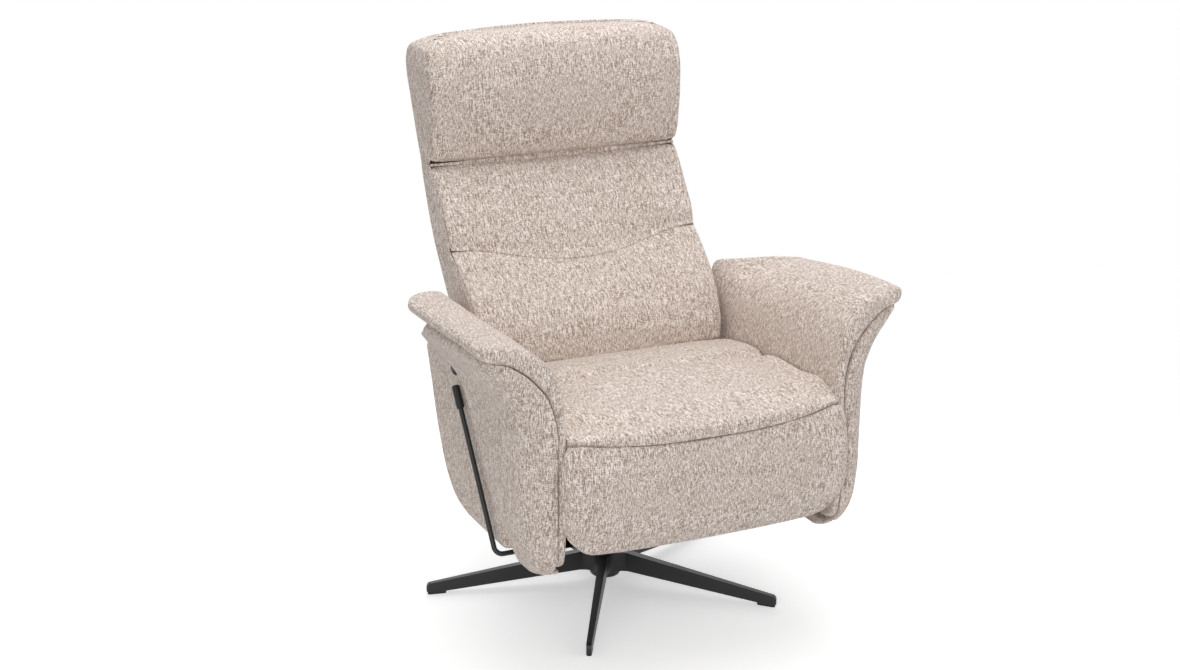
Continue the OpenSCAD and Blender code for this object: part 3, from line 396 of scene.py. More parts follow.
def fabric(name, dark, mid, light):
    """A beige chenille weave, laid on from three sides by the surface's own direction."""
    m, nt, bsdf = material(name)
    tc = node(nt, "ShaderNodeTexCoord")
    vec = tc.outputs["Object"]
    geo = node(nt, "ShaderNodeNewGeometry")
    vt = node(nt, "ShaderNodeVectorTransform", vector_type="NORMAL", convert_from="WORLD",
              convert_to="OBJECT")
    nt.links.new(geo.outputs["Normal"], vt.inputs[0])
    ab = node(nt, "ShaderNodeVectorMath", operation="ABSOLUTE")
    nt.links.new(vt.outputs[0], ab.inputs[0])
    sep = node(nt, "ShaderNodeSeparateXYZ")
    nt.links.new(ab.outputs[0], sep.inputs[0])
    w = [math_node(nt, "POWER", sep.outputs[i], 9.0) for i in range(3)]
    total = math_node(nt, "ADD", math_node(nt, "ADD", w[0], w[1]), w[2])
    w = [math_node(nt, "DIVIDE", x, total) for x in w]
    threads = [None] * 4
    for i, p in enumerate("xyz"):
        for k, a in enumerate(weave_height(nt, vec, p)):
            a = math_node(nt, "MULTIPLY", a, w[i])
            threads[k] = a if threads[k] is None else math_node(nt, "ADD", threads[k], a)
    ramp = node(nt, "ShaderNodeValToRGB")
    weft, warp, slub, rib = [math_node(nt, "MULTIPLY", t, k) for t, k in zip(threads, WEAVE_MIX)]
    mix = math_node(nt, "ADD", math_node(nt, "ADD", weft, warp), math_node(nt, "ADD", slub, rib))
    blotch = node(nt, "ShaderNodeTexNoise", Scale=34.0, Detail=3.0, Roughness=0.55)
    nt.links.new(vec, blotch.inputs["Vector"])
    soft = math_node(nt, "MULTIPLY", math_node(nt, "SUBTRACT", blotch.outputs["Fac"], 0.5), 0.03)
    fine = node(nt, "ShaderNodeTexNoise", Scale=650.0, Detail=2.0, Roughness=0.6)
    nt.links.new(vec, fine.inputs["Vector"])
    grain = math_node(nt, "MULTIPLY", math_node(nt, "SUBTRACT", fine.outputs["Fac"], 0.5), 0.12)
    fac = math_node(nt, "ADD", math_node(nt, "ADD", mix, soft), grain)
    nt.links.new(fac, ramp.inputs[0])
    els = ramp.color_ramp.elements
    els[0].position, els[0].color = 0.425, linear(dark)
    els[1].position, els[1].color = 0.575, linear(light)
    e = els.new(0.5)
    e.color = linear(mid)
    nt.links.new(ramp.outputs[0], bsdf.inputs["Base Color"])
    bsdf.inputs["Roughness"].default_value = 0.92
    bsdf.inputs["Specular IOR Level"].default_value = 0.18
    bsdf.inputs["Sheen Weight"].default_value = 0.25
    bsdf.inputs["Sheen Roughness"].default_value = 0.5
    bsdf.inputs["Sheen Tint"].default_value = (1.0, 0.95, 0.9, 1.0)
    bp = node(nt, "ShaderNodeBump")
    bp.inputs["Strength"].default_value = 0.5
    bp.inputs["Distance"].default_value = 0.0012
    nt.links.new(fac, bp.inputs["Height"])
    nt.links.new(bp.outputs[0], bsdf.inputs["Normal"])
    return m


def grained(name, colour, rough, metal=0.0, scale=900.0, strength=0.15, vary=0.12, distance=0.0004):
    """Powder coat, moulded plastic or cast metal: a fine grain in bump, tone and roughness."""
    m, nt, bsdf = material(name)
    tc = node(nt, "ShaderNodeTexCoord")
    n = node(nt, "ShaderNodeTexNoise", Scale=scale, Detail=3.0, Roughness=0.6)
    nt.links.new(tc.outputs["Object"], n.inputs["Vector"])
    big = node(nt, "ShaderNodeTexNoise", Scale=14.0, Detail=4.0, Roughness=0.6)
    nt.links.new(tc.outputs["Object"], big.inputs["Vector"])
    c = linear(colour)
    ramp = node(nt, "ShaderNodeValToRGB")
    ramp.color_ramp.elements[0].position = 0.3
    ramp.color_ramp.elements[0].color = tuple(x * (1 - vary) for x in c[:3]) + (1,)
    ramp.color_ramp.elements[1].position = 0.7
    ramp.color_ramp.elements[1].color = tuple(min(1, x * (1 + vary) + 0.002) for x in c[:3]) + (1,)
    nt.links.new(big.outputs["Fac"], ramp.inputs[0])
    nt.links.new(ramp.outputs[0], bsdf.inputs["Base Color"])
    r = node(nt, "ShaderNodeMapRange")
    r.inputs["To Min"].default_value = max(0.05, rough - 0.08)
    r.inputs["To Max"].default_value = min(1.0, rough + 0.08)
    nt.links.new(big.outputs["Fac"], r.inputs["Value"])
    nt.links.new(r.outputs[0], bsdf.inputs["Roughness"])
    bsdf.inputs["Metallic"].default_value = metal
    bp = node(nt, "ShaderNodeBump")
    bp.inputs["Strength"].default_value = strength
    bp.inputs["Distance"].default_value = distance
    nt.links.new(n.outputs["Fac"], bp.inputs["Height"])
    nt.links.new(bp.outputs[0], bsdf.inputs["Normal"])
    return m


def wood(name):
    """Layered birch: long fine stripes."""
    m, nt, bsdf = material(name)
    tc = node(nt, "ShaderNodeTexCoord")
    mp = node(nt, "ShaderNodeMapping")
    mp.inputs["Scale"].default_value = (400.0, 6.0, 60.0)
    nt.links.new(tc.outputs["Object"], mp.inputs["Vector"])
    n = node(nt, "ShaderNodeTexNoise", Scale=1.0, Detail=5.0, Roughness=0.6)
    nt.links.new(mp.outputs[0], n.inputs["Vector"])
    ramp = node(nt, "ShaderNodeValToRGB")
    ramp.color_ramp.elements[0].color = linear("#8a6a42")
    ramp.color_ramp.elements[1].color = linear("#c8a578")
    nt.links.new(n.outputs["Fac"], ramp.inputs[0])
    nt.links.new(ramp.outputs[0], bsdf.inputs["Base Color"])
    bsdf.inputs["Roughness"].default_value = 0.7
    bp = node(nt, "ShaderNodeBump")
    bp.inputs["Strength"].default_value = 0.2
    bp.inputs["Distance"].default_value = 0.0005
    nt.links.new(n.outputs["Fac"], bp.inputs["Height"])
    nt.links.new(bp.outputs[0], bsdf.inputs["Normal"])
    return m


CLOTH = fabric("beige_weave", "#937f70", "#cfbfb4", "#fbf2ec")
BLACK_CAST = grained("black_powder_coat", "#151517", rough=0.42, scale=1400.0, strength=0.12)
BLACK_STEEL = grained("black_lacquer", "#101113", rough=0.5, scale=900.0, strength=0.08)
BLACK_PLASTIC = grained("black_moulding", "#08080a", rough=0.6, scale=1600.0, strength=0.2)
NYLON = grained("nylon", "#d8d6cf", rough=0.5, scale=500.0, strength=0.05, vary=0.03)
ZINC = grained("zinc_plate", "#a6a8aa", rough=0.34, metal=1.0, scale=700.0, strength=0.06)
SPRING = grained("spring_wire", "#6f7174", rough=0.36, metal=1.0, scale=600.0, strength=0.06)
CHROME = grained("rod_chrome", "#c4c6c9", rough=0.12, metal=1.0, scale=500.0, strength=0.01, vary=0.03)
PLYWOOD = wood("plywood")
CAMBRIC = grained("cambric", "#161616", rough=0.95, scale=800.0, strength=0.5, distance=0.001)
WEBBING = grained("webbing", "#1d1d1f", rough=0.9, scale=700.0, strength=0.5, distance=0.001)

SLOT = {"black_cast": BLACK_CAST, "black_steel": BLACK_STEEL, "black_plastic": BLACK_PLASTIC,
        "bush_nylon": NYLON, "zinc_steel": ZINC, "spring_steel": SPRING, "rod_steel": CHROME,
        "fabric": CLOTH, "cambric": CAMBRIC, "webbing": WEBBING, "plywood": PLYWOOD}
for s in frame["record"]["subparts"]:
    ob = frame["nodes"][s["node"]]
    ob.data.materials.clear()
    ob.data.materials.append(SLOT[s["material_slot"]])


def dress(ob, body, solid):
    """Covers a cushion in cloth: it rides on the body and stands in for the solid."""
    ob.data.materials.clear()
    ob.data.materials.append(CLOTH)
    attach(ob, body)
    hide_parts(solid)


# ---------- arms ----------
# Each row of an arm's table: the inner face's distance outwards from ARM_IN and height over
# SEAT, the same two for the outer face, how far the front end is set back from ARM_FRONT,
# and how far behind it the rear end lies.
PAD = [[0, -236, 15.5, -236, 30, 280], [0, -227, 15.5, -227, 14, 340], [0, -216, 15.5, -216, 8, 370],
       [0, -175, 15.5, -175, 2, 413], [0, -125, 15.5, -125, 0, 440], [0, -56, 15.5, -56, 0, 467],
       [0, 8, 15.5, 8, 0, 486], [1, 36, 18, 31, 2, 492], [3, 66, 23, 55, 3, 500],
       [9, 96, 31, 79, 3, 512], [20, 123, 45, 98, 5, 518], [38, 144, 62, 116, 7, 488],
       [62, 160, 81, 131, 9, 452], [90, 170, 102, 143, 11, 424], [117, 175, 120, 146, 15, 401],
       [136, 174, 134, 148, 22, 384], [147, 167, 144, 155, 36, 364]]
PANEL = [[2, -266, 22, -266, 75, 118], [1.5, -260, 34, -261, 55, 126], [1.5, -252, 42, -254, 38, 128],
         [1.5, -246, 46, -247, 31, 127], [16, -245.2, 48, -243, 28, 127], [16, -218, 60, -212, 8, 126],
         [16, -175, 72, -174, 2, 147], [16, -132, 77, -132, 0, 171], [16, -71, 78, -71, 0, 210],
         [16, -28, 78.5, -28, 0, 245], [16, 7, 80, 3, 0, 264], [17.3, 20, 82, 24, 0, 279],
         [18.8, 32, 85, 42, 1, 297], [21, 43, 88, 53, 2, 316], [24, 55, 92, 62, 2, 352],
         [27, 64, 97, 71, 3, 402], [32, 77.5, 104, 82, 4, 404], [46, 96.8, 113, 93, 6, 393],
         [63, 115.5, 122, 104, 8, 376], [82, 130, 129, 112, 11, 356], [103, 142, 133, 119, 15, 338],
         [120, 145, 136, 127, 22, 322], [130, 146, 137, 137, 36, 302]]
SIDE = [[36, -236, 58, -236, 132, 262], [36, -228, 64, -228, 129, 318], [36, -218, 66, -216, 129, 362],
        [36, -175, 66, -175, 150, 411], [36, -132, 66, -132, 174, 436], [36, -71, 66, -71, 213, 462],
        [36, -28, 66, -28, 248, 476], [36, 4, 67, 4, 267, 485], [36, 20, 68, 20, 282, 487],
        [36, 31, 69, 31, 300, 488], [36, 43, 71, 43, 319, 487], [36, 53, 73, 52, 358, 470]]


# how far the lip falls, from front to rear
LIP_Y = [-409, -343, -269, -204, -137, -62, -20, 8, 36, 72, 112]
LIP = {"left": [-7, -7, -4, 2, 10, 21, 25, 22, 18, 12, 1], "right": [0, 0, 0.7, 3, 5.4, 6, 6, 6, 6, 6, 6]}
LIP_SINK = LIP["left"][:]


def arm_point(r, y, f):
    up = r[1] + (r[3] - r[1]) * f
    sink = float(np.interp(y, LIP_Y, LIP_SINK)) * min(1, max(0, (up - 62) / 90))
    return [ARM_IN + r[0] + (r[2] - r[0]) * f, y, SEAT + up - sink]


def arm_rings(rows, per, kind):
    rings = []
    for r in dense(rows, per):
        y0, y1 = -ARM_FRONT + r[4], -ARM_FRONT + r[5]
        thick = math.hypot(r[2] - r[0], r[3] - r[1])
        if kind == "pad":
            ef, er = min(thick * 0.55, 9), min(thick * 0.55, 12)
            front = [(y0 + ef * (1 - math.sin(a)), 0.5 - 0.5 * math.cos(a))
                     for a in np.linspace(0, math.pi, 9)]
            rear = [(y1 - er * (1 - math.sin(a)), 0.5 + 0.5 * math.cos(a))
                    for a in np.linspace(0, math.pi, 9)]
            lo, hi = y0 + ef, y1 - er
            outer = [(lo + (hi - lo) * t, 1.0) for t in np.linspace(0, 1, 42)[1:-1]]
            inner = [(hi + (lo - hi) * t, 0.0) for t in np.linspace(0, 1, 42)[1:-1]]
            ring = front + outer + rear + inner
            ring = ring[4:] + ring[:4]
        else:
            nose = min(78 if kind == "panel" else 10, (y1 - y0) * 0.5)
            tail = min(14, (y1 - y0) * 0.2)
            out = [(y0 + nose * (1 - math.cos(a)), math.sin(a))
                   for a in np.linspace(0, math.pi / 2, 18)[1:]]
            lo, hi = y0 + nose, y1 - tail
            out += [(lo + (hi - lo) * t, 1.0) for t in np.linspace(0, 1, 26)[1:-1]]
            out += [(hi + tail * math.sin(a), 1 - 0.45 * (1 - math.cos(a)))
                    for a in np.linspace(0, math.pi / 2, 8)]
            inn = [(p[0], 0.0) for p in out]
            ring = [(y0, 0.0)] + out + [(y1, 0.25)] + inn[::-1]
        rings.append([arm_point(r, y, f) for y, f in ring])
    return rings


def round_edges(ob, voxel, times):
    """Even quads with softened edges."""
    m = ob.modifiers.new("remesh", "REMESH")
    m.mode = "VOXEL"
    m.voxel_size = voxel
    m.use_smooth_shade = True
    s = ob.modifiers.new("smooth", "SMOOTH")
    s.iterations = times
    s.factor = 0.5
    apply_modifiers(ob)


STITCH_FROM = 6      # first row of PAD that has the topstitch
STITCH_INSET = 13.0
BESIDE_LEG = [[ARM_IN + 21, -ARM_FRONT + 1, z] for z in range(250, 446, 8)]

for side in ("left", "right"):
    LIP_SINK[:] = LIP[side]
    pad = loft("pad", arm_rings(PAD, 5, "pad"))
    round_edges(pad, 0.0034, 3)
    topstitch = [arm_point(r, -ARM_FRONT + r[4] + STITCH_INSET, 0.0)
                 for r in dense(PAD[STITCH_FROM:], 4)]
    groove(pad, topstitch, 2.2, 1.3)
    panel = loft("panel", arm_rings(PANEL, 4, "panel"))
    round_edges(panel, 0.0032, 2)
    shell = loft("side", arm_rings(SIDE, 5, "side"))
    round_edges(shell, 0.005, 3)
    groove(panel, BESIDE_LEG, 5.0, 4.0)
    for ob in (pad, panel):
        wobble(ob, 0.5, 60.0, 11)
    for base, n in ((pad, "arm_pad"), (panel, "arm_panel"), (shell, "arm_side")):
        name = n + "_" + side
        if side == "right":
            ob = mirror_x(base, name + "_skin")
            bpy.data.objects.remove(base)
        else:
            ob = base
            ob.name = name + "_skin"
        dress(ob, "chassis", name)


# ---------- seat ----------
# y, top over SEAT, forward slant of the front, inset of the sides, share of the crown
SEAT_ROWS = [[34, -22, 0, 12, 0], [27, -12, 0, 3, 0], [2, -5, 0, 0, 0], [-12, 3, 0, 0, 0.2],
             [-40, 5, 0, 0, 0.5], [-90, 8, 0, 0, 0.8], [-140, 12, 0, 0, 0.9], [-165, 10, 0, 0, 0.9],
             [-190, 16, 0, 0, 1], [-250, 20, 0, 0, 1], [-316, 20, 0, 0, 0.9], [-358, 17, 0, 0, 0.7],
             [-390, 12, 0.55, 0.5, 0.5], [-422, 6, 0.9, 1.5, 0.3], [-435.6, 3, 1, 3, 0.2]]


def seat_rings(per):
    n = 104
    rings = []
    for r in dense(SEAT_ROWS, per):
        w = 261 - r[3] - 2 * math.sin(math.pi * (34 - r[0]) / 470)
        top, low = SEAT + r[1], 360 + r[3] / 2
        mid, half = (top + low) / 2, (top - low) / 2
        ring = []
        for k in range(n):
            a = math.radians(-90 + 360 * k / n)
            x = w * spow(math.cos(a), 0.22)
            bulge = 9 * r[4] * (1 - (x / w) ** 2) if n / 4 < k < 3 * n / 4 else 0
            z = mid + half * spow(math.sin(a), 0.26) + bulge
            ring.append([x, r[0] + r[2] * max(0, SEAT - 8 - z), z])
        rings.append(ring)
    return rings


SEAM_Y = -447     # middle of the seam between seat and leg rest


def seam_at(x):
    """The seam between seat and leg rest: y and z, a smile both in plan and in height."""
    u = np.clip(np.abs(x) / ARM_IN, 0, 1)
    return SEAM_Y + 38 * u ** 3, 440 + 15 * u ** 2.2 + 6 * u ** 6


def pull_front(ob):
    """Rounds the seat's front edge over and down to the seam."""
    co = get_chair(ob)
    ys, zs = seam_at(co[:, 0])
    co[:, 1] += (ys - SEAM_Y) * np.clip((-co[:, 1] - 362) / 70, 0, 1)
    ax = np.abs(co[:, 0])
    grow = 0.45 * np.clip((-co[:, 1] - 300) / 70, 0, 1) * np.clip((co[:, 2] - 425) / 15, 0, 1)
    wider = np.maximum(ax, np.minimum(ARM_IN, ax + (ax - 222) * grow))
    co[:, 0] = np.sign(co[:, 0]) * np.where(ax > 222, wider, ax)
    d = np.hypot(co[:, 1] - (ys + 11.4), co[:, 2] - 450)
    co[:, 1] -= 11.4 * np.exp(-(d / 19) ** 2)
    edge = np.clip((np.abs(co[:, 0]) - 205) / 56, 0, 1) ** 2 * np.clip((co[:, 2] - 405) / 40, 0, 1)
    co[:, 2] += edge * np.interp(co[:, 1], [-430, -400, -340, -90, -30, 0], [-4, 4, 14, 19, 10, 0])
    co[:, 2] += (zs - 450) * np.exp(-(d / 9) ** 2)
    set_chair(ob, co)


LEG_LIP = -411.5    # the leg rest's rim stays this far forward, clear of the arms' fronts


def pull_top(ob):
    """Brings the leg rest's upper edge to the seam and rounds its upper corners."""
    co = get_chair(ob)
    _, zs = seam_at(co[:, 0])
    u = np.clip(np.abs(co[:, 0]) / ARM_IN, 0, 1)
    t = np.clip((co[:, 2] - 388) / 62, 0, 1)
    ahead = np.clip((-co[:, 1] - 405) / 25, 0, 1)
    co[:, 1] += (-2 + 26 * u ** 3) * t ** 1.6 * ahead
    co[:, 2] += (zs - 450.8) * t
    wide = (np.abs(co[:, 0]) > 256) & (co[:, 1] > LEG_LIP) & (co[:, 1] < -395) & (co[:, 2] > 300)
    co[wide, 1] = LEG_LIP
    set_chair(ob, co)


def rise(a, width):
    """0 up to a = 0, then evenly up to 1 at a = width."""
    return np.clip(a / width, 0, 1)


seat = loft("seat_cushion", seat_rings(5))
round_edges(seat, 0.006, 3)
inflate(seat, lambda c: rise(c[:, 2] - 400, 40) * rise(ARM_IN - np.abs(c[:, 0]), 22)
        * rise(c[:, 1] + FRONT, 40) * rise(-12 - c[:, 1], 40), cap=0.009)
refine(seat)
pull_front(seat)
crease = [[x, -165 + 8 * (x / 200) ** 2, SEAT + 24 - 10 * (x / 260) ** 2]
          for x in range(-250, 251, 10)]
groove(seat, crease, 16, 8.0, pucker=0.8, seed=3)
wobble(seat, 0.7, 70.0, 5)
dress(seat, "chassis", "seat_pad")

# ---------- leg rest ----------
# depth below the hinge's height plus 8, bulge ahead of FRONT, half width, slant of the top
LEG_ROWS = [[0.6, 6, 269, 1], [9, 9, 275, 0.915], [32, 9, 278, 0.64], [62, 11, 279, 0.29],
            [95, 12, 279, 0], [130, 10, 278, 0], [160, 6, 270, 0], [180, 0, 255, 0],
            [196, -8, 237, 0], [206, -18, 220, 0], [210, -28, 200, 0]]


def leg_rings(per):
    rings = []
    for r in dense(LEG_ROWS, per):
        w, z, yf = r[2], SEAT - 8 - r[0], -FRONT - r[1]
        lip = max(LEG_LIP, yf + 20)
        yb = -358.4 - max(0, -r[1]) * 0.8
        wb = min(258, w - 6)
        c = 0.9 + 0.06 * max(0, min(1, (z - 400) / 50))
        front = [(w * u, yf + 12 * u ** 3) for u in np.linspace(0, c, 26)]
        side = [(w * c + w * (1 - c) * math.sin(a), lip + (yf + 12 * c ** 3 - lip) * math.cos(a))
                for a in np.linspace(0, math.pi / 2, 9)[1:]]
        back = [(wb, lip + 1.8), (wb, lip + (yb - lip) * 0.4), (wb, lip + (yb - lip) * 0.85),
                (wb - 8, yb)]
        right = front + side + back
        ring = right + [(-x, y) for x, y in right[:0:-1]]
        rings.append([[x, y, z - r[3] * max(0, y + FRONT)] for x, y in ring])
    return rings


leg = loft("legrest_cushion", leg_rings(5))
round_edges(leg, 0.005, 3)
inflate(leg, lambda c: rise(-408 - c[:, 1], 14) * rise(446 - c[:, 2], 20), cap=0.010)
refine(leg)
pull_top(leg)
for s in (-1, 1):
    groove(leg, [[s * 274, -420, z] for z in range(275, 440, 8)], 4.5, 3.0)
wobble(leg, 0.6, 80.0, 9)
dress(leg, "legrest", "legrest_pad")

# ---------- back ----------
BACK = [[-112, 40, 42, 66], [-60, 40, 42, 70], [-35, 20, 40, 72], [-5, -53, 13, 73], [7, -59, 17, 78],
        [32, -59, 28, 87], [62, -47, 45, 105], [92, -30, 62, 122], [122, -5, 80, 139],
        [152, 27, 100, 155], [177, 57, 117, 168], [190, 76, 126, 176], [204, 81, 137, 183],
        [242, 100, 163, 203], [282, 128, 186, 220], [312, 150, 200, 231], [327, 163, 207, 235],
        [338, 177, 210, 237]]
HEAD = [[338, 177, 210, 237, 0], [350, 165, 214, 241, 2], [372, 153, 218, 249, 5],
        [412, 145, 224, 262, 9], [452, 143, 230, 275, 13], [492, 145, 236, 288, 16],
        [527, 152, 242, 294, 17], [552, 163, 246, 292, 10], [569, 178, 248, 280, -6],
        [578, 198, 246, 262, -28]]


def rows_at(table, hs):
    t = np.array(table, float)
    return np.column_stack([hs, pchip(t[:, 0], t[:, 1:], hs)])


def back_half(h):
    return 257 - 12 * max(0, 190 - h) / 195 + max(0, h - 190) / 148


def head_half(e):
    return 258 + (e if e < 0 else e * 5 / 17)


FLANGE = 4.0       # the cover's edge wraps the pads this thickly
SEAM = 12.0        # the gusset seam lies this far behind the face


def face_ring(yf, ym, w, z, crown, bend=None):
    """A front pad: crowned face, tight corner at the gusset seam, set-in sides, flat rear."""
    c = 13.0
    pts = []
    for u in np.linspace(0, 1, 30):
        x = (w - c) * u
        pts.append((x, yf - crown * (1 - u * u)))
    for a in np.linspace(0, math.pi / 2, 7)[1:]:
        pts.append((w - c + (c - 1.6) * math.sin(a), yf + (SEAM - 0.8) * (1 - math.cos(a))))
    pts.append((w - FLANGE - 1.2, yf + SEAM + 1.5))
    for t in np.linspace(0.2, 1, 6):
        pts.append((w - FLANGE - 1.2, yf + SEAM + 1.5 + (ym - yf - SEAM - 1.5) * t))
    for u in np.linspace(1, 0, 12)[1:]:
        pts.append(((w - FLANGE - 1.2) * u, ym))
    pts = [(x, min(y, ym) if i < 45 else y) for i, (x, y) in enumerate(pts)]
    ring = pts + [(-x, y) for x, y in pts[-2:0:-1]]
    return [[x, y, z if bend is None else bend(y, z)] for x, y in ring]


def wrap_ring(yf, ym, yr, w, z, crown, flange=True):
    """The cover: rounded rear, sides that wrap the pads up to the gusset seam."""
    q = min(16.0, (yr - ym) * 0.6)
    pts = [(w * 0.85 * u, yr + crown * (1 - (0.85 * u) ** 2)) for u in np.linspace(0, 1, 24)]
    x0 = w * 0.85
    for a in np.linspace(0, math.pi / 2, 10)[1:]:
        pts.append((x0 + (w - x0) * math.sin(a), yr - q + (q + crown * 0.28) * math.cos(a)))
    front = yf + SEAM if flange else ym
    for t in np.linspace(0, 1, 12)[1:]:
        pts.append((w, yr - q + (front + 4 - yr + q) * t))
    pts.append((w - 0.7, front + 1.5))
    pts.append((w - 1.8, front))
    pts.append((w - FLANGE, front + 1.2))
    for t in np.linspace(0, 1, 6)[1:]:
        pts.append((w - FLANGE, front + 1.2 + (ym - 1.5 - front - 1.2) * t))
    for u in np.linspace(1, 0, 10)[1:]:
        pts.append(((w - FLANGE) * u, ym - 1.5))
    return [[x, y, z] for x, y in pts + [(-x, y) for x, y in pts[-2:0:-1]]]


def fold_bend(s):
    slope = math.tan(math.radians(18))
    def f(y, z):
        lim = HEAD_Z + s * (0.4 + max(0, HEAD_Y - y) * slope)
        return max(z, lim) if s > 0 else min(z, lim)
    return f


WAIST = 178.0     # waist seam, over SEAT
FOLD = 338        # fold between back and head, over SEAT


def waist(x):
    """How far the waist seam lies over its mean height: a low middle and raised ends."""
    u = min(1.0, abs(x) / 250.0)
    return -16 + 31 * math.sin(math.pi / 2 * u ** 1.2) ** 2


def pad_rings(hs, tuck, ends):
    """Rings of a back cushion. tuck(h) draws the face in; ends bends the last ring."""
    crown = 8.0
    rings = []
    rows = rows_at(BACK, hs)
    for i, (h, yf, ym, yr) in enumerate(rows):
        k = tuck(h)
        w = back_half(h)
        rings.append(face_ring(REC_Y + yf + k, REC_Y + ym, w - 0.15 * k, SEAT + h,
                               max(1.0, crown - k / 2), ends if i == len(rows) - 1 else None))
    return rings


def lumbar_tuck(h):
    return 5 * math.exp(-((h + 11) / 6.0) ** 2) + 10 * math.exp(-abs(h - WAIST) / 5.0)


def upper_tuck(h):
    return 10 * math.exp(-abs(h - WAIST) / 5.0) + 2 * math.exp(-((h - FOLD) / 6.0) ** 2)


hs = np.concatenate([np.linspace(-11, 16, 9)[:-1], np.linspace(16, 164, 26)[:-1],
                     np.linspace(164, WAIST, 8)])
lumbar = loft("lumbar_cushion", pad_rings(hs, lumbar_tuck, None))
hs = np.concatenate([np.linspace(WAIST, 192, 8)[:-1], np.linspace(192, 322, 22)[:-1],
                     np.linspace(322, 332, 4)[:-1], [337.6]])
upper = loft("upper_back_cushion", pad_rings(hs, upper_tuck, fold_bend(-1)))


def lift_waist(ob):
    """Bends the rings near the waist along the seam's curve."""
    co = get_co(ob) * 1000.0
    fade = np.clip(1 - np.abs(co[:, 2] - (SEAT + WAIST)) / 70, 0, 1)
    up = np.array([waist(x) for x in co[:, 0]])
    ahead = np.clip((REC_Y + SY + 100 - co[:, 1]) / 40, 0, 1)
    co[:, 2] += up * fade
    co[:, 1] += up * fade * 1.15 * ahead
    set_co(ob, co / 1000.0)


for ob in (lumbar, upper):
    lift_waist(ob)


def face_y(z):
    """Where the back's face lies at this height."""
    return REC_Y + np.interp(z - SEAT, [r[0] for r in BACK], [r[1] for r in BACK])


def face_free(c, z0, z1):
    """Only the face between two heights may move, and its rim less."""
    return (rise(face_y(c[:, 2]) + 26 - c[:, 1], 16) * rise(238 - np.abs(c[:, 0]), 26)
            * rise(c[:, 2] - z0, 16) * rise(z1 - c[:, 2], 16))


inflate(lumbar, lambda c: face_free(c, 462, 626), cap=0.012)
inflate(upper, lambda c: face_free(c, 646, 790), cap=0.010)
for ob in (lumbar, upper):
    refine(ob)
    wobble(ob, 0.6, 70.0, 21)


# gathers beside the ends of the waist seam
for s in (-1, 1):
    seam = [(s * x, SEAT + WAIST + waist(x)) for x in range(140, 246, 6)]
    end = [[x, face_y(z) + 3, z] for x, z in seam]
    for k, ob in enumerate((lumbar, upper)):
        groove(ob, end, 5.0, 0.0, pucker=1.6, spacing=12.0, seed=51 + k + s)

FOOT = -5.0       # below this height the cover is only the back's narrower foot
FOOT_HALF = 208

hs = np.concatenate([np.linspace(-112, -60, 5)[:-1], np.linspace(-60, FOOT, 10)[:-1],
                     np.linspace(FOOT, 337.6, 60)])
rings = []
for h, yf, ym, yr in rows_at(BACK, hs):
    if h < FOOT:
        widen = min(1, max(0, (h + 35) / 30)) ** 0.5
        front, w = ym, FOOT_HALF + (back_half(FOOT) - FOOT_HALF) * widen
    else:
        front, w = yf, back_half(h)
    rings.append(wrap_ring(REC_Y + front, REC_Y + ym, REC_Y + yr, w, SEAT + h, 6, flange=h >= FOOT))
cover = loft("back_cover_skin", rings)
wobble(cover, 0.4, 80.0, 31)

for ob, n in ((lumbar, "lumbar_pad"), (upper, "upper_back_pad"), (cover, "back_cover")):
    dress(ob, "back", n)

# ---------- head ----------
hs = np.concatenate([[338.4], np.linspace(350, 545, 34)[:-1], np.linspace(545, 578, 14)])
rings, wraps = [], []
for i, (h, yf, ym, yr, e) in enumerate(rows_at(HEAD, hs)):
    up = min(1.0, (h - FOLD) / 60)
    crown = 8 + 10 * up if h < 560 else 18 - 8 * (h - 560) / 18
    k = 3 * math.exp(-((h - FOLD) / 6.0) ** 2)
    rings.append(face_ring(REC_Y + yf + 10 * up + k, REC_Y + ym, head_half(e), SEAT + h, crown,
                           fold_bend(1) if i == 0 else None))
    lap = 7 * min(1.0, max(0.0, (h - 540) / 20))    # the cover laps over the pad's top rear edge
    wraps.append(wrap_ring(REC_Y + yf + 10 * up, REC_Y + ym - lap, REC_Y + yr, head_half(e), SEAT + h,
                           6 * min(1, (580 - h) / 30)))
head = loft("head_cushion", rings)
inflate(head, lambda c: rise(232 - c[:, 1], 20) * rise(250 - np.abs(c[:, 0]), 26)
        * rise(c[:, 2] - 802, 16) * rise(1022 - c[:, 2], 20), cap=0.010)
refine(head)
wobble(head, 0.6, 70.0, 41)
head_cover = loft("head_cover_skin", wraps)
wobble(head_cover, 0.4, 80.0, 43)
for ob in (head, head_cover):    # an arched top
    co = get_co(ob) * 1000.0
    co[:, 2] -= 13 * (co[:, 0] / 270) ** 2 * np.clip((co[:, 2] - SEAT - 470) / 100, 0, 1)
    set_co(ob, co / 1000.0)
for s in (-1, 1):
    end = [[s * x, REC_Y + 176, HEAD_Z + 6] for x in range(130, 250, 6)]
    groove(head, end, 7.0, 0.0, pucker=1.8, spacing=12.0, seed=61 + s)
dress(head, "head", "head_pad")

# The cover goes on from the back into the head part through a shallow fold
rings = []
for x in np.concatenate([[-256, -255], np.linspace(-251, 251, 57), [255, 256]]):
    inner = 1 - (abs(x) / 256.0) ** 2
    low, high = 7 + 7 * inner, 6 + 8 * inner
    out = []
    for t in np.linspace(-1, 1, 13):
        dip = (0.8 + 2.4 * inner) * (1 - abs(t)) ** 0.7
        r = max(2.0, low + (high - low) * (t + 1) / 2 - 0.6 - dip)
        a = math.radians(19 * t)
        out.append((HEAD_Y - r * math.cos(a), HEAD_Z + r * math.sin(a)))
    rings.append([[x, y, z] for y, z in out + [(y + 1.5, z) for y, z in out[::-1]]])
fold = loft("head_fold", rings)
fold.data.materials.append(CLOTH)
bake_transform(fold)
dress(head_cover, "head", "head_cover")

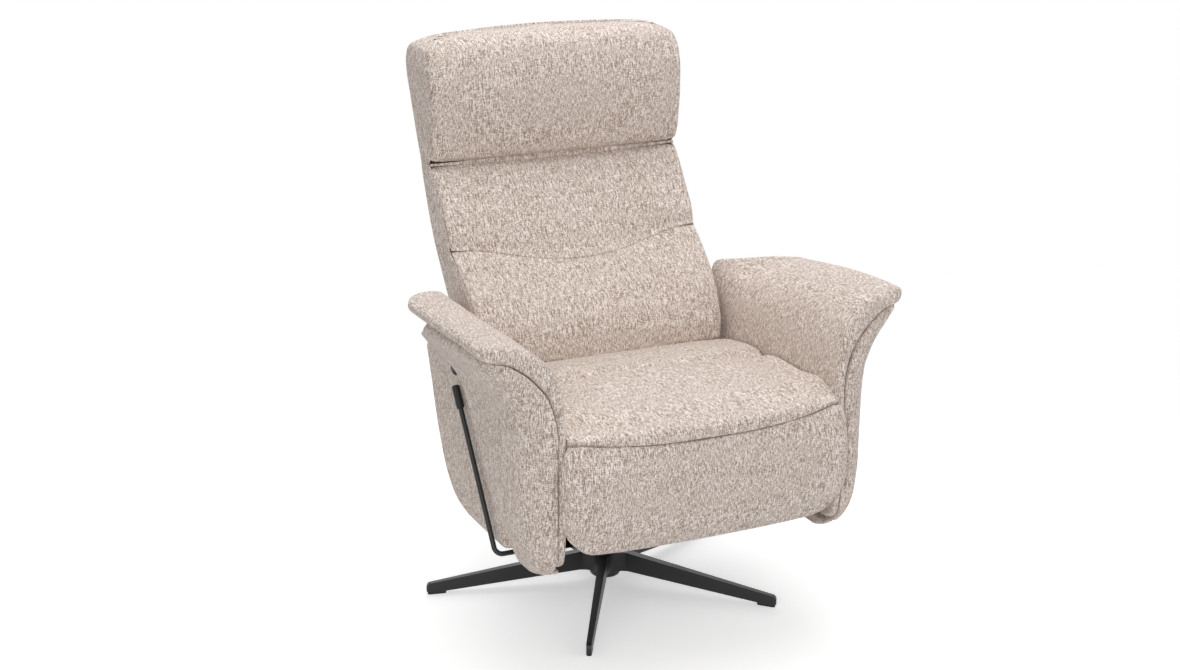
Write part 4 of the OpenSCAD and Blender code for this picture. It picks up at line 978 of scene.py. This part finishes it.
# ---------- hard parts: soft edges ----------
for n, width in (("star_base", 0.0012), ("base_glides", 0.0006), ("button_bezel", 0.0005),
                 ("button_cap", 0.0005)):
    b = frame["nodes"][n].modifiers.new("edge", "BEVEL")
    b.width = width
    b.segments = 2
    b.limit_method = "ANGLE"
    b.angle_limit = math.radians(40)
    b.harden_normals = False

# ---------- light, floor and camera ----------
AZ, EL, DIST = math.radians(-24.87), math.radians(17.49), 4.0
target = Vector((-0.0263, 0.0122 + SY / 1000, 0.494))
back = Vector((math.sin(AZ) * math.cos(EL), -math.cos(AZ) * math.cos(EL), math.sin(EL)))
cam_data = bpy.data.cameras.new("camera")
cam_data.lens = 65.04
cam_data.sensor_width = 36.0
cam_data.sensor_fit = "HORIZONTAL"
cam = bpy.data.objects.new("camera", cam_data)
scene.collection.objects.link(cam)
cam.location = target + back * DIST
cam.rotation_euler = (-back).to_track_quat("-Z", "Y").to_euler()
scene.camera = cam


def lamp(name, at, size, watts):
    """A soft lamp that looks at the middle of the chair."""
    d = bpy.data.lights.new(name, "AREA")
    d.shape = "RECTANGLE"
    d.size, d.size_y = size
    d.energy = watts
    o = bpy.data.objects.new(name, d)
    scene.collection.objects.link(o)
    o.location = at
    o.rotation_euler = (Vector((0, 0, 0.5)) - Vector(at)).to_track_quat("-Z", "Y").to_euler()


lamp("key", (-1.6, -2.6, 1.7), (2.2, 1.6), 31)
lamp("fill", (2.6, -1.8, 1.6), (2.2, 2.0), 18)
lamp("top", (0.2, 0.9, 3.2), (2.4, 2.4), 34)
lamp("front_top", (0.1, -0.3, 3.2), (2.0, 2.0), 16)
lamp("rim", (1.2, 2.8, 2.0), (2.0, 1.6), 14)

AMBIENT = 0.42


def seen_directly(nt):
    """1 for rays that show the background: straight from the camera, mirrored or through glass."""
    lp = node(nt, "ShaderNodeLightPath")
    both = math_node(nt, "MAXIMUM", lp.outputs["Is Camera Ray"], lp.outputs["Is Transmission Ray"])
    return math_node(nt, "MAXIMUM", both, lp.outputs["Is Glossy Ray"])


world = bpy.data.worlds.new("world")
scene.world = world
world.use_nodes = True
wn = world.node_tree
bg = wn.nodes["Background"]
bg.inputs["Color"].default_value = (1, 1, 1, 1)
bg.inputs["Strength"].default_value = AMBIENT
white = node(wn, "ShaderNodeBackground", Color=(1, 1, 1, 1), Strength=1.0)
mixer = node(wn, "ShaderNodeMixShader")
wn.links.new(seen_directly(wn), mixer.inputs[0])
wn.links.new(bg.outputs[0], mixer.inputs[1])
wn.links.new(white.outputs[0], mixer.inputs[2])
wn.links.new(mixer.outputs[0], wn.nodes["World Output"].inputs[0])

# The floor keeps the shadow and fades into the white background around the chair
FLOOR = 30
floor = make("floor", [(-FLOOR, -FLOOR, 0), (FLOOR, -FLOOR, 0), (FLOOR, FLOOR, 0), (-FLOOR, FLOOR, 0)],
             [(0, 1, 2, 3)], smooth=False)
fm, nt, bsdf = material("floor_paper")
bsdf.inputs["Base Color"].default_value = (0.86, 0.86, 0.86, 1)
bsdf.inputs["Roughness"].default_value = 0.9
bsdf.inputs["Specular IOR Level"].default_value = 0.1
glow = node(nt, "ShaderNodeEmission", Strength=AMBIENT)
add = node(nt, "ShaderNodeAddShader")
gate = node(nt, "ShaderNodeMixShader")
nt.links.new(seen_directly(nt), gate.inputs[0])
nt.links.new(bsdf.outputs[0], add.inputs[0])
nt.links.new(glow.outputs[0], add.inputs[1])
nt.links.new(bsdf.outputs[0], gate.inputs[1])
nt.links.new(add.outputs[0], gate.inputs[2])
tc = node(nt, "ShaderNodeTexCoord")
far = node(nt, "ShaderNodeVectorMath", operation="LENGTH")
nt.links.new(tc.outputs["Object"], far.inputs[0])
ease = node(nt, "ShaderNodeMapRange", interpolation_type="SMOOTHSTEP")
ease.inputs["From Min"].default_value = 0.7
ease.inputs["From Max"].default_value = 1.9
nt.links.new(far.outputs["Value"], ease.inputs["Value"])
clear = node(nt, "ShaderNodeBsdfTransparent")
last = node(nt, "ShaderNodeMixShader")
nt.links.new(ease.outputs[0], last.inputs[0])
nt.links.new(gate.outputs[0], last.inputs[1])
nt.links.new(clear.outputs[0], last.inputs[2])
nt.links.new(last.outputs[0], nt.nodes["Material Output"].inputs[0])
floor.data.materials.append(fm)

scene.view_settings.view_transform = "Standard"
bpy.context.view_layer.update()
